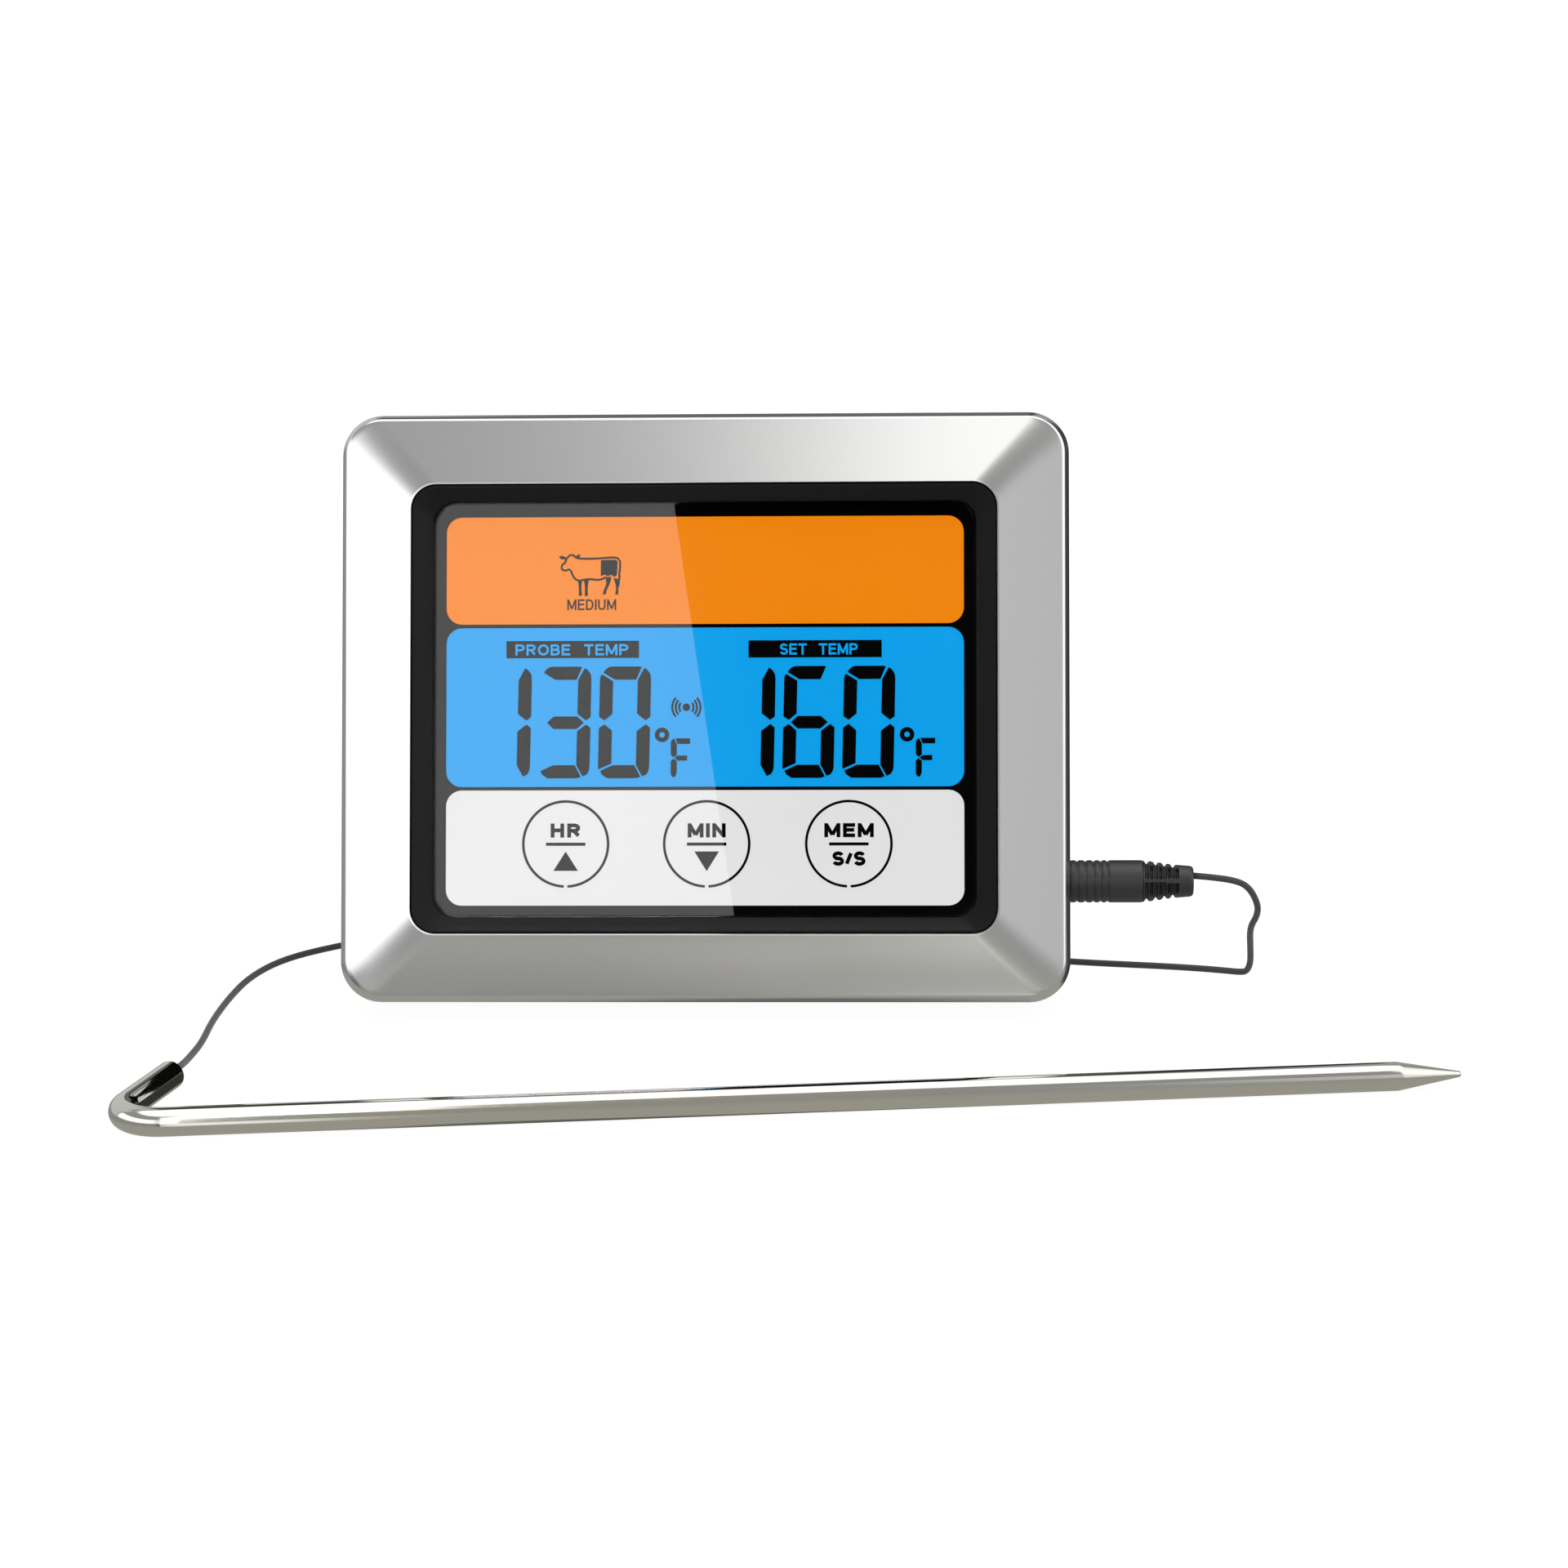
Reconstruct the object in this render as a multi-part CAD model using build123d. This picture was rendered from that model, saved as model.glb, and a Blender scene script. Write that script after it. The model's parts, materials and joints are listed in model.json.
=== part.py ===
"""Wired cooking thermometer: a display case leaning on a fold-out stand, and a bent steel probe on a thin lead.

Two sets of axes are used, both in millimetres.
Case axes: X to the right, Y from the front of the case to its back, Z up the case, origin in the middle of the
front. Desk axes: Z straight up from the table, X shared with the case. stand_up() takes a case shape to the desk.
"""
from build123d import *
import math
import os

os.makedirs("parts", exist_ok=True)

# ---------------------------------------------------------------- driving dimensions
CASE_W = 96.0
CASE_H = 77.6
CASE_CORNER = 5.4
LEAN = 16.0                 # degrees, case leaning back
SPLIT_Y = 12.0              # where the front frame meets the rear cover
BACK_Y = 25.0               # back face of the rear cover
WALL = 1.6
TABLE_GAP = 0.3             # lowest edge of the front frame above the table

RIM_Y = 2.3                 # front of the outer rim
CREST_Y = 0.6               # crest between the sloping facets and the black ring
RING_W = 77.4
RING_H = 59.5
GLASS_W = 71.4
GLASS_H = 54.4
GLASS_Y = 3.0
GLASS_T = 1.0

PANEL_W = 68.3
PANEL_CORNER = 2.1
ORANGE_Z = (11.25, 25.45)
BLUE_Z = (-10.2, 10.8)
KEYS_Z = (-25.87, -10.65)
KEY_X = (-18.7, -0.1, 18.6)
KEY_Z = -17.7

COVER_W = 94.0
COVER_H = 75.6
SCREW_X = 43.3
SCREW_Z = 34.0
BOARD_SCREW_X = 37.6
BOARD_SCREW_Z = 28.6
BOARD_Y = 9.2
BOARD_T = 1.0

BAY_X = -27.25              # middle of the battery bay
BAY_W = 22.5
BAY_Z = (-17.3, 33.2)
CELL_R = 5.25
CELL_Y = 17.8
CELL_BODY = 43.6
DOOR_FOOT_Z = -18.0

HINGE_Y = 23.3
HINGE_Z = 26.0
HINGE_PIN_R = 0.8
LEG_W = 24.6
LEG_END_Z = -34.0
OPEN_ANGLE = 28.0

SWITCH_X = 28.0
SWITCH_Z = {"mode": 9.0, "unit": -5.0}
SWITCH_TRAVEL = 4.0
MAGNETS = {"magnet_left": (-27.25, -26.2), "magnet_right": (28.0, -23.0)}
BUZZER = (30.0, 24.0)

JACK_Y = 8.0
JACK_Z = -22.9
PLUG_R = 2.8
PLUG_FACE_X = CASE_W / 2 + 0.05
GRIP_END_X = 57.7
RELIEF_END_X = 64.3

PROBE_R = 1.8
PROBE_WALL = 0.35
PROBE_BEND_R = 5.0
PROBE_END = (-65.1, -35.95)      # open end of the short leg, desk axes
PROBE_CORNER = (-69.85, -55.3)
PROBE_TIP = (95.3, -35.0)
PROBE_TAPER = 8.0

CORD_D = 0.8
COIL_CENTRE = (8.0, 60.0)
COIL_OUTER_R = 7.6               # outermost turn, at the middle of the cord
COIL_RADIAL_TURNS = 5
COIL_LEVELS = 4
COIL_LIFT = 0.45                 # the tie passes under the coil
COIL_TOP_Z = COIL_LIFT + CORD_D * (COIL_LEVELS - 0.5)

# Lead of the cord, from the strain relief down to the table, desk axes.
LEAD_POINTS = [
    (64.3, 1.38, 17.4), (67.0, 1.38, 17.17), (70.0, 1.5, 16.66), (71.5, 1.85, 15.8), (72.5, 2.6, 14.2),
    (73.1, 3.6, 12.4), (72.95, 4.8, 10.8), (72.4, 6.1, 9.3), (72.35, 7.6, 7.7), (72.65, 10.2, 5.1),
    (72.9, 12.6, 2.2),
]
# From there behind the case to the coil.
RUN_POINTS = [
    (72.65, 10.2, 5.1), (72.9, 12.6, 2.2), (72.5, 13.9, 0.6), (71.6, 14.3, 0.4), (69.9, 14.9, 0.4),
    (66.8, 15.9, 0.4), (61.0, 17.2, 0.4), (51.0, 18.8, 0.4), (40.0, 21.5, 0.4), (30.5, 27.5, 0.4),
    (22.5, 36.0, 0.4), (17.4, 45.5, 0.45), (15.7, 53.0, 0.8), (15.6, 60.0, 0.85),
]
# From the top of the coil to the open end of the probe.
TAIL_POINTS = [
    (8.0, 67.6, COIL_TOP_Z), (1.0, 67.5, 2.9), (-7.0, 66.0, 1.5), (-15.5, 61.5, 0.45), (-26.5, 52.0, 0.4),
    (-37.0, 41.0, 0.4), (-46.5, 32.2, 0.4), (-54.5, 26.6, 0.4), (-60.3, 20.4, 0.4), (-63.4, 12.0, 0.4),
    (-64.5, 2.0, 0.4), (-64.9, -9.0, 0.4), (-64.5, -18.0, 0.4), (-64.9, -25.0, 0.5), (-64.8, -30.0, 1.2),
    (-64.9, -33.5, 1.75), (-65.2, -36.2, 1.8),
]

# ---------------------------------------------------------------- derived sizes
SIN = math.sin(math.radians(LEAN))
COS = math.cos(math.radians(LEAN))
TAPER = math.tan(math.radians(LEAN))          # the cover narrows at the lean, so its underside lies level
CASE_RISE = SPLIT_Y * SIN + CASE_H / 2 * COS + TABLE_GAP
COVER_UNDERSIDE = CASE_RISE - (SPLIT_Y * SIN + COVER_H / 2 * COS)
STANCE = Location((0, 0, CASE_RISE), (-LEAN, 0, 0))

nodes = {}
CORD_NODES = []


def desk_point(y, z):
    """Desk Y and Z of a point given by its case Y and Z."""
    return y * COS + z * SIN, CASE_RISE - y * SIN + z * COS


def stand_up(shape):
    return STANCE * shape


def plate(width, height, y0, y1, corner=0.0, x=0.0, z=0.0):
    """Flat plate facing the front, from depth y0 to y1."""
    outline = RectangleRounded(width, height, corner) if corner else Rectangle(width, height)
    return extrude(Plane.XZ.offset(-y1) * Pos(x, z) * outline, amount=y1 - y0)


def band(width, z_range, y0, y1, corner=0.0, x=0.0):
    """Plate given by its lower and upper edge."""
    low, high = z_range
    return plate(width, high - low, y0, y1, corner, x, (low + high) / 2)


def frustum(front, back):
    """Solid between two rounded rectangles, each (width, height, corner, y)."""
    outlines = [Plane.XZ.offset(-y) * RectangleRounded(w, h, r) for w, h, r, y in (front, back)]
    return loft(outlines, ruled=True)


def rod_y(radius, y0, y1, x, z):
    return extrude(Plane.XZ.offset(-y1) * Pos(x, z) * Circle(radius), amount=y1 - y0)


def rod_x(radius, x0, x1, y=JACK_Y, z=JACK_Z):
    return extrude(Plane.YZ.offset(x0) * Pos(y, z) * Circle(radius), amount=x1 - x0)


def rod_z(radius, z0, z1, x, y):
    return extrude(Plane.XY.offset(z0) * Pos(x, y) * Circle(radius), amount=z1 - z0)


def joined(shapes):
    """One shape of several solids."""
    total = shapes[0]
    for shape in shapes[1:]:
        total = total + shape
    return total


def corners(x, z):
    return [(sx * x, sz * z) for sx in (-1, 1) for sz in (-1, 1)]


def bend_radii(points):
    """Arc radius at each inner point: 0.45 of the shorter run over the tangent of half the turn."""
    radii = []
    for before, here, after in zip(points, points[1:], points[2:]):
        run_in = Vector(*here) - Vector(*before)
        run_out = Vector(*after) - Vector(*here)
        half_turn = math.radians(run_in.get_angle(run_out)) / 2
        radii.append(0.45 * min(run_in.length, run_out.length) / math.tan(half_turn))
    return radii


def tube_along(points, radii, radius):
    path = FilletPolyline(*points, radius=radii)
    section = Plane(origin=path @ 0, z_dir=path % 0) * Circle(radius)
    return sweep(section, path=path), path.length


def cover_half(size, y):
    """Full size of the rear cover at a depth, from its size at the split."""
    return size - 2 * (y - SPLIT_Y) * TAPER


# ---------------------------------------------------------------- front of the case
def make_front_frame():
    body = plate(CASE_W, CASE_H, RIM_Y, SPLIT_Y, CASE_CORNER)
    body = fillet(body.faces().sort_by(Axis.Y)[0].edges(), 0.7)
    facets = frustum((RING_W + 0.8, RING_H + 0.8, 4.5, CREST_Y),
                     (CASE_W - 1.6, CASE_H - 1.6, CASE_CORNER - 0.8, RIM_Y))
    frame_shape = body + facets
    frame_shape -= plate(CASE_W - 3.0, CASE_H - 3.0, 4.2, SPLIT_Y, 4.0)
    frame_shape -= plate(RING_W, RING_H, 0, 5, 4.2)
    for x, z in corners(SCREW_X, SCREW_Z):
        frame_shape += rod_y(2.6, 4.0, SPLIT_Y, x, z)
        frame_shape -= rod_y(1.0, 6.4, SPLIT_Y, x, z)
    frame_shape -= rod_x(2.45, CASE_W / 2 - 3, CASE_W / 2 + 1)
    nodes["front_frame"] = stand_up(frame_shape)


def make_inner_ring():
    ring = plate(RING_W - 0.2, RING_H - 0.2, CREST_Y - 0.1, 4.3, 4.1)
    ring += plate(80.0, 62.0, 4.3, 5.6, 4.0)
    ring -= frustum((RING_W - 1.0, RING_H - 1.0, 3.8, CREST_Y - 0.1), (GLASS_W + 0.2, GLASS_H + 0.2, 3.2, GLASS_Y))
    ring -= plate(GLASS_W + 0.2, GLASS_H + 0.2, GLASS_Y, 4.1, 3.2)
    ring -= plate(69.4, 52.4, 4.1, 5.6, 1.5)
    for x, z in corners(BOARD_SCREW_X, BOARD_SCREW_Z):
        ring += rod_y(2.0, 5.6, BOARD_Y, x, z)
        ring -= rod_y(0.9, 6.4, BOARD_Y, x, z)
    nodes["inner_ring"] = stand_up(ring)


def make_display():
    window = plate(GLASS_W, GLASS_H, GLASS_Y, GLASS_Y + GLASS_T, 3.1)
    window = chamfer(window.faces().sort_by(Axis.Y)[0].edges(), 0.25)
    nodes["display_window"] = stand_up(window)
    mask_y = GLASS_Y + GLASS_T
    mask = plate(GLASS_W - 0.4, GLASS_H - 0.4, mask_y, mask_y + 0.1, 2.9)
    films = {"orange_film": ORANGE_Z, "blue_film": BLUE_Z, "key_panel_film": KEYS_Z}
    for name, z_range in films.items():
        mask -= band(PANEL_W, z_range, mask_y, mask_y + 0.1, PANEL_CORNER)
        low, high = z_range
        nodes[name] = stand_up(band(PANEL_W + 0.3, (low - 0.15, high + 0.15), mask_y + 0.1, mask_y + 0.2, 2.2))
    nodes["window_mask"] = stand_up(mask)
    nodes["lcd_panel"] = stand_up(band(68.4, (-10.4, 25.6), 4.25, 6.3))
    nodes["light_guide"] = stand_up(band(66.0, (-7.6, 24.6), 6.4, 8.0))
    nodes["reflector_sheet"] = stand_up(band(66.0, (-7.6, 24.6), 8.0, 8.15))
    leds = [plate(3.0, 1.0, 6.6, 7.8, x=x, z=25.15) for x in (-22, 0, 22)]
    nodes["backlight_leds"] = stand_up(joined(leds))
    holder = plate(70.6, 57.0, 5.7, 8.9) - band(69.0, (-10.5, 25.8), 5.7, 8.2)
    holder -= band(60.0, (-26.5, -11.6), 5.7, 8.9)
    holder -= band(59.0, (-10.3, -8.1), 5.7, 8.9)
    nodes["lcd_holder"] = stand_up(holder)
    nodes["zebra_connector"] = stand_up(band(58.0, (-10.1, -8.3), 6.3, BOARD_Y))


def make_touch_keys():
    nodes["touch_board"] = stand_up(band(68.4, (-25.6, -11.0), 4.4, 5.4))
    pads = [rod_y(4.6, 4.25, 4.4, x, KEY_Z) for x in KEY_X]
    nodes["touch_electrodes"] = stand_up(joined(pads))
    nodes["touch_connector"] = stand_up(band(16.0, (-15.5, -12.5), 5.4, BOARD_Y, x=10.0))


# ---------------------------------------------------------------- electronics
def make_main_board():
    board = plate(80.0, 61.0, BOARD_Y, BOARD_Y + BOARD_T, 1.5)
    board -= plate(12.0, 6.2, BOARD_Y, BOARD_Y + BOARD_T, x=42.0, z=JACK_Z)
    screws = []
    back = BOARD_Y + BOARD_T
    for x, z in corners(BOARD_SCREW_X, BOARD_SCREW_Z):
        board -= rod_y(1.1, BOARD_Y, back, x, z)
        screws.append(rod_y(0.9, 6.5, back, x, z) + rod_y(1.7, back, back + 1.1, x, z))
    nodes["main_board"] = stand_up(board)
    nodes["board_screws"] = stand_up(joined(screws))
    nodes["controller_blob"] = stand_up(fillet(rod_y(6.0, back, back + 1.2, 6.0, 8.0).edges().sort_by(Axis.Y)[-1:], 0.9))
    chips = [(-4.0, -6.0, 5.0, 4.0), (3.5, -8.0, 2.6, 1.6), (9.0, -6.5, 3.0, 1.5), (22.0, -14.0, 4.0, 3.0),
             (-8.0, 20.0, 3.2, 1.6), (-3.0, 21.0, 2.0, 1.2)]
    nodes["board_components"] = stand_up(joined([plate(w, h, back, back + 0.9, x=x, z=z) for x, z, w, h in chips]))


def make_jack():
    socket = plate(10.2, 5.5, JACK_Y - 2.3, JACK_Y + 2.5, x=41.3, z=JACK_Z) + rod_x(2.4, 46.4, 47.7)
    socket -= rod_x(1.3, 36.0, 48.0)
    nodes["jack_socket"] = stand_up(socket)
    lugs = []
    for x in (38.0, 41.5, 45.0):
        lugs.append(plate(1.0, 0.3, JACK_Y - 0.5, JACK_Y + 2.4, x=x, z=JACK_Z + 2.9))
    nodes["jack_contacts"] = stand_up(joined(lugs))


def make_buzzer():
    x, z = BUZZER
    nodes["buzzer"] = stand_up(rod_y(7.0, 20.4, 23.3, x, z) - rod_y(5.6, 22.2, 23.3, x, z))
    wires = []
    for side in (-0.8, 0.8):
        route = [(x - 4 + side, 20.4, z - 3), (x - 5 + side, 17.5, z - 4), (x - 9 + side, 13.0, z - 7),
                 (x - 10 + side, BOARD_Y + BOARD_T, z - 8)]
        wires.append(tube_along(route, bend_radii(route), 0.3)[0])
    nodes["buzzer_wires"] = stand_up(joined(wires))


# ---------------------------------------------------------------- rear cover and what it carries
def make_rear_cover():
    outer = frustum((COVER_W, COVER_H, 5.0, SPLIT_Y),
                    (cover_half(COVER_W, BACK_Y), cover_half(COVER_H, BACK_Y), 5.0, BACK_Y))
    outer = fillet(outer.faces().sort_by(Axis.Y)[-1].edges(), 1.0)
    inside_y = BACK_Y - WALL
    cavity = frustum((COVER_W - 2 * 1.8, COVER_H - 2 * 1.8, 3.4, SPLIT_Y),
                     (cover_half(COVER_W, inside_y) - 3.6, cover_half(COVER_H, inside_y) - 3.6, 3.4, inside_y))
    cover = outer - cavity
    cover += plate(92.8, 74.4, 10.6, SPLIT_Y, 3.9) - plate(90.4, 72.0, 10.6, SPLIT_Y, 3.4)

    bay_low, bay_high = BAY_Z
    cover += band(BAY_W + 2.5, (bay_low - 1.2, 40.0), SPLIT_Y, BACK_Y, x=BAY_X) & outer
    cover += band(29.6, (-40.0, 29.8), 20.0, BACK_Y) & outer
    for x, z in MAGNETS.values():
        cover += rod_y(7.2, 21.2, BACK_Y, x, z) & outer
    for x, z in corners(SCREW_X, SCREW_Z):
        cover += rod_y(3.6, SPLIT_Y, BACK_Y, x, z) & outer
    for x in (SWITCH_X - 9.5, SWITCH_X + 9.5):
        cover += rod_y(2.0, 18.0, inside_y + 0.2, x, 2.0)
        cover -= rod_y(0.9, 18.0, 22.0, x, 2.0)

    cover -= band(BAY_W, BAY_Z, SPLIT_Y + 0.4, 22.95, x=BAY_X)
    cover -= band(BAY_W + 2.2, (DOOR_FOOT_Z - 0.1, 40.0), 22.95, 24.05, x=BAY_X)
    cover -= band(BAY_W + 0.2, (DOOR_FOOT_Z - 0.1, 40.0), 24.05, BACK_Y + 1, x=BAY_X)
    cover -= band(LEG_W + 0.8, (-40.0, 28.4), 21.4, BACK_Y + 1)
    cover -= rod_x(HINGE_PIN_R, -14.0, 14.0, HINGE_Y, HINGE_Z)
    for x, z in MAGNETS.values():
        cover -= rod_y(6.05, 22.4, BACK_Y + 1, x, z)
    for x, z in corners(SCREW_X, SCREW_Z):
        cover -= rod_y(2.4, 14.2, BACK_Y + 1, x, z)
        cover -= rod_y(1.15, SPLIT_Y - 1, 14.4, x, z)
        cover -= rod_y(2.8, 10.0, SPLIT_Y, x, z)
    for z in SWITCH_Z.values():
        cover -= plate(10.8, 4.2, 24.2, BACK_Y + 1, 0.8, x=SWITCH_X, z=z)
        cover -= plate(6.8, 1.9, 22.0, BACK_Y + 1, x=SWITCH_X, z=z)
    hole_x, hole_z = BUZZER
    cover -= rod_y(0.6, 22, BACK_Y + 1, hole_x, hole_z)
    for step in range(6):
        angle = math.radians(60 * step)
        cover -= rod_y(0.6, 22, BACK_Y + 1, hole_x + 2.4 * math.cos(angle), hole_z + 2.4 * math.sin(angle))
    nodes["rear_cover"] = stand_up(cover)
    return outer


def make_battery_door(cover_outer):
    door = band(BAY_W + 2.0, (DOOR_FOOT_Z, 40.0), 23.05, 23.95, x=BAY_X)
    door += band(BAY_W, (DOOR_FOOT_Z, 40.0), 23.95, BACK_Y, x=BAY_X)
    door = door & cover_outer
    for step in range(5):
        door -= plate(13.0, 0.8, BACK_Y - 0.35, BACK_Y + 1, x=BAY_X, z=DOOR_FOOT_Z + 4 + 1.8 * step)
    nodes["battery_door"] = stand_up(door)


def make_batteries():
    low, high = BAY_Z
    spring_base = low + 0.4
    spring_top = low + 4.9
    plates = []
    springs = []
    for name, side in (("battery_left", -1), ("battery_right", 1)):
        x = BAY_X + side * 5.4
        flip = side > 0
        can = rod_z(CELL_R, spring_top, spring_top + CELL_BODY, x, CELL_Y)
        can = fillet(can.edges(), 0.4) + rod_z(1.9, spring_top + CELL_BODY, spring_top + CELL_BODY + 0.9, x, CELL_Y)
        spring = Pos(x, CELL_Y, (spring_base + spring_top) / 2) * (
            Cone(4.0, 2.4, spring_top - spring_base) - Cylinder(1.6, spring_top - spring_base))
        base = Pos(x, CELL_Y, low + 0.2) * Box(9.6, 9.6, 0.4)
        nub_top = spring_top + CELL_BODY + 0.9
        head = Pos(x, CELL_Y, (nub_top + high) / 2) * Box(9.6, 9.6, high - nub_top)
        pieces = [can, spring, base, head]
        if flip:
            turn = Pos(0, 0, low + high) * Rot(180, 0, 0)
            pieces = [Pos(0, 2 * CELL_Y, 0) * (turn * piece) for piece in pieces]
        nodes[name] = stand_up(pieces[0])
        springs.append(pieces[1])
        plates += pieces[2:]
    nodes["battery_springs"] = stand_up(joined(springs))
    nodes["battery_contacts"] = stand_up(joined(plates))
    wires = []
    for z in (24.0, -12.0):
        route = [(BAY_X + 12.45, 14.0, z), (BAY_X + 14.6, 13.6, z - 0.6), (BAY_X + 16.6, 12.2, z - 1.4),
                 (BAY_X + 17.4, BOARD_Y + BOARD_T, z - 1.8)]
        wires.append(tube_along(route, bend_radii(route), 0.4)[0])
    nodes["battery_wires"] = stand_up(joined(wires))


def make_switches():
    board = plate(23.0, 30.0, 17.0, 18.0, 1.0, x=SWITCH_X, z=2.0)
    screws = []
    for x in (SWITCH_X - 9.5, SWITCH_X + 9.5):
        board -= rod_y(1.1, 17.0, 18.0, x, 2.0)
        screws.append(rod_y(0.9, 17.0, 21.9, x, 2.0) + rod_y(1.7, 15.9, 17.0, x, 2.0))
    nodes["switch_board"] = stand_up(board)
    nodes["board_screws"] += stand_up(joined(screws))
    for name, z in SWITCH_Z.items():
        body = plate(12.0, 5.6, 18.0, 22.1, x=SWITCH_X, z=z)
        body -= plate(7.0, 2.1, 21.0, 22.1, x=SWITCH_X, z=z)
        nodes[f"{name}_switch"] = stand_up(body)
        rest_x = SWITCH_X - SWITCH_TRAVEL / 2
        knob = plate(6.4, 3.8, 24.3, 25.6, 0.6, x=rest_x, z=z)
        for step in (-1.6, 0.0, 1.6):
            knob -= plate(0.5, 3.8, 25.3, 26.0, x=rest_x + step, z=z)
        knob += plate(2.4, 1.6, 21.2, 24.3, x=rest_x, z=z)
        nodes[f"{name}_slider"] = stand_up(knob)
    ribbon = plate(10.0, 0.5, BOARD_Y + BOARD_T, 17.0, x=SWITCH_X - 4, z=-10.0)
    nodes["switch_ribbon"] = stand_up(ribbon)


def make_case_fittings():
    screws = []
    for x, z in corners(SCREW_X, SCREW_Z):
        screws.append(rod_y(1.0, 6.5, 14.2, x, z) + rod_y(2.0, 14.2, 15.6, x, z) - plate(2.6, 0.5, 15.1, 16, x=x, z=z))
    nodes["case_screws"] = stand_up(joined(screws))
    for name, (x, z) in MAGNETS.items():
        nodes[name] = stand_up(rod_y(6.0, 22.4, BACK_Y, x, z))
    foot_y = desk_point((SPLIT_Y + BACK_Y) / 2, 0)[0] - COVER_H / 2 * SIN + 1.0
    for name, side in (("foot_left", -1), ("foot_right", 1)):
        pad = Pos(side * 30, foot_y, COVER_UNDERSIDE / 2) * Box(16, 9, COVER_UNDERSIDE)
        nodes[name] = fillet(pad.edges().filter_by(Axis.Z), 2.0)


def make_stand():
    leg = band(LEG_W, (LEG_END_Z - 2, HINGE_Z), 22.6, 24.6)
    leg += rod_x(1.55, -LEG_W / 2, LEG_W / 2, HINGE_Y, HINGE_Z)
    leg -= rod_x(HINGE_PIN_R + 0.05, -LEG_W, LEG_W, HINGE_Y, HINGE_Z)
    leg -= band(13.0, (LEG_END_Z + 6, HINGE_Z - 8), 24.0, 25.0, 3.0)
    hinge = Axis((0, HINGE_Y, HINGE_Z), (1, 0, 0))
    leg = stand_up(leg.rotate(hinge, OPEN_ANGLE))
    pad_top = 0.8
    leg -= Pos(0, 40, pad_top - 10) * Box(60, 60, 20)
    nodes["stand_leg"] = leg
    sole = leg.faces().sort_by(Axis.Z)[0]
    middle = sole.center()
    depth = sole.bounding_box().size.Y
    pad = Pos(0, middle.Y, pad_top / 2) * Box(LEG_W, depth, pad_top)
    nodes["stand_pad"] = fillet(pad.edges().filter_by(Axis.Z), 0.8)
    nodes["hinge_pin"] = stand_up(rod_x(HINGE_PIN_R, -14.0, 14.0, HINGE_Y, HINGE_Z))


# ---------------------------------------------------------------- plug, in case axes along X
def make_plug():
    def turned(radius, x0, x1):
        return rod_x(radius, x0, x1)

    grip = fillet(turned(PLUG_R, PLUG_FACE_X, GRIP_END_X).edges(), 0.2)
    for x in (49.0, 50.1, 51.15, 52.1, 53.0):
        grip -= turned(PLUG_R + 1, x - 0.15, x + 0.15) - turned(PLUG_R - 0.18, x - 0.2, x + 0.2)
    grip -= turned(1.25, PLUG_FACE_X, 52.0)
    nodes["plug_grip"] = stand_up(grip)

    relief = turned(2.0, GRIP_END_X, RELIEF_END_X)
    for x, radius in ((58.45, 2.62), (59.65, 2.5), (60.75, 2.38), (61.7, 2.28)):
        rib = turned(radius, x - 0.3, x + 0.3)
        relief += fillet(rib.edges(), 0.14)
    relief += fillet(turned(2.2, 62.0, RELIEF_END_X).edges().sort_by(Axis.X)[-1:], 0.4)
    relief += Pos((GRIP_END_X + 62.2) / 2, JACK_Y, JACK_Z) * Box(62.2 - GRIP_END_X, 4.4, 0.9)
    nodes["strain_relief"] = stand_up(relief)

    nodes["plug_sleeve"] = stand_up(turned(1.25, 41.2, 52.0) - turned(0.85, 41.2, 52.0))
    nodes["plug_insulator"] = stand_up(turned(0.85, 41.2, 52.0) + turned(1.2, 40.6, 41.2) - turned(0.5, 40.6, 52.0))
    tip = turned(1.25, 38.6, 40.6) + turned(0.5, 40.6, 52.0)
    tip -= turned(2, 39.5, 40.0) - turned(0.95, 39.5, 40.0)
    nose = Pos(38.1, JACK_Y, JACK_Z) * Rot(0, -90, 0) * Cone(1.25, 0.45, 1.0)
    nodes["plug_tip"] = stand_up(tip + nose)
    CORD_NODES.extend(["plug_grip", "strain_relief", "plug_sleeve", "plug_insulator", "plug_tip"])


# ---------------------------------------------------------------- cord, in desk axes
def make_cord():
    splice = (Vector(*LEAD_POINTS[-2]) + Vector(*LEAD_POINTS[-1])) / 2
    lead = LEAD_POINTS[:-1] + [tuple(splice)]
    run = [tuple(splice)] + RUN_POINTS[1:]
    total = 0.0
    for name, points in (("cord_lead", lead), ("cord_run", run), ("cord_tail", TAIL_POINTS)):
        radii = bend_radii(points)
        nodes[name], length = tube_along(points, radii, CORD_D / 2)
        total += length
        print(name, "length", round(length, 1), "arc radii", [round(radius, 1) for radius in radii])
        print(name, "volume over section times length", nodes[name].volume / (math.pi * CORD_D**2 / 4 * length))
    inner_r = COIL_OUTER_R - CORD_D * (COIL_RADIAL_TURNS - 0.5)
    outer_r = COIL_OUTER_R + CORD_D / 2
    height = CORD_D * COIL_LEVELS
    middle = Pos(*COIL_CENTRE, COIL_LIFT + height / 2)
    nodes["cord_coil"] = middle * (Cylinder(outer_r, height) - Cylinder(inner_r, height))
    mean_r = (inner_r + outer_r) / 2
    coil_length = 2 * math.pi * mean_r * COIL_RADIAL_TURNS * COIL_LEVELS
    print("cord length in all", round(total + coil_length, 1), "of which coiled", round(coil_length, 1))
    tie_section = Box(outer_r - inner_r + 0.8, 2.0, height + 0.9) - Box(outer_r - inner_r + 0.1, 2.0, height + 0.1)
    tie = fillet(tie_section.edges().filter_by(Axis.Y), 0.3)
    nodes["cord_tie"] = middle * Rot(0, 0, 215) * Pos(mean_r, 0, 0) * tie
    CORD_NODES.extend(["cord_lead", "cord_run", "cord_coil", "cord_tail", "cord_tie"])


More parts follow.
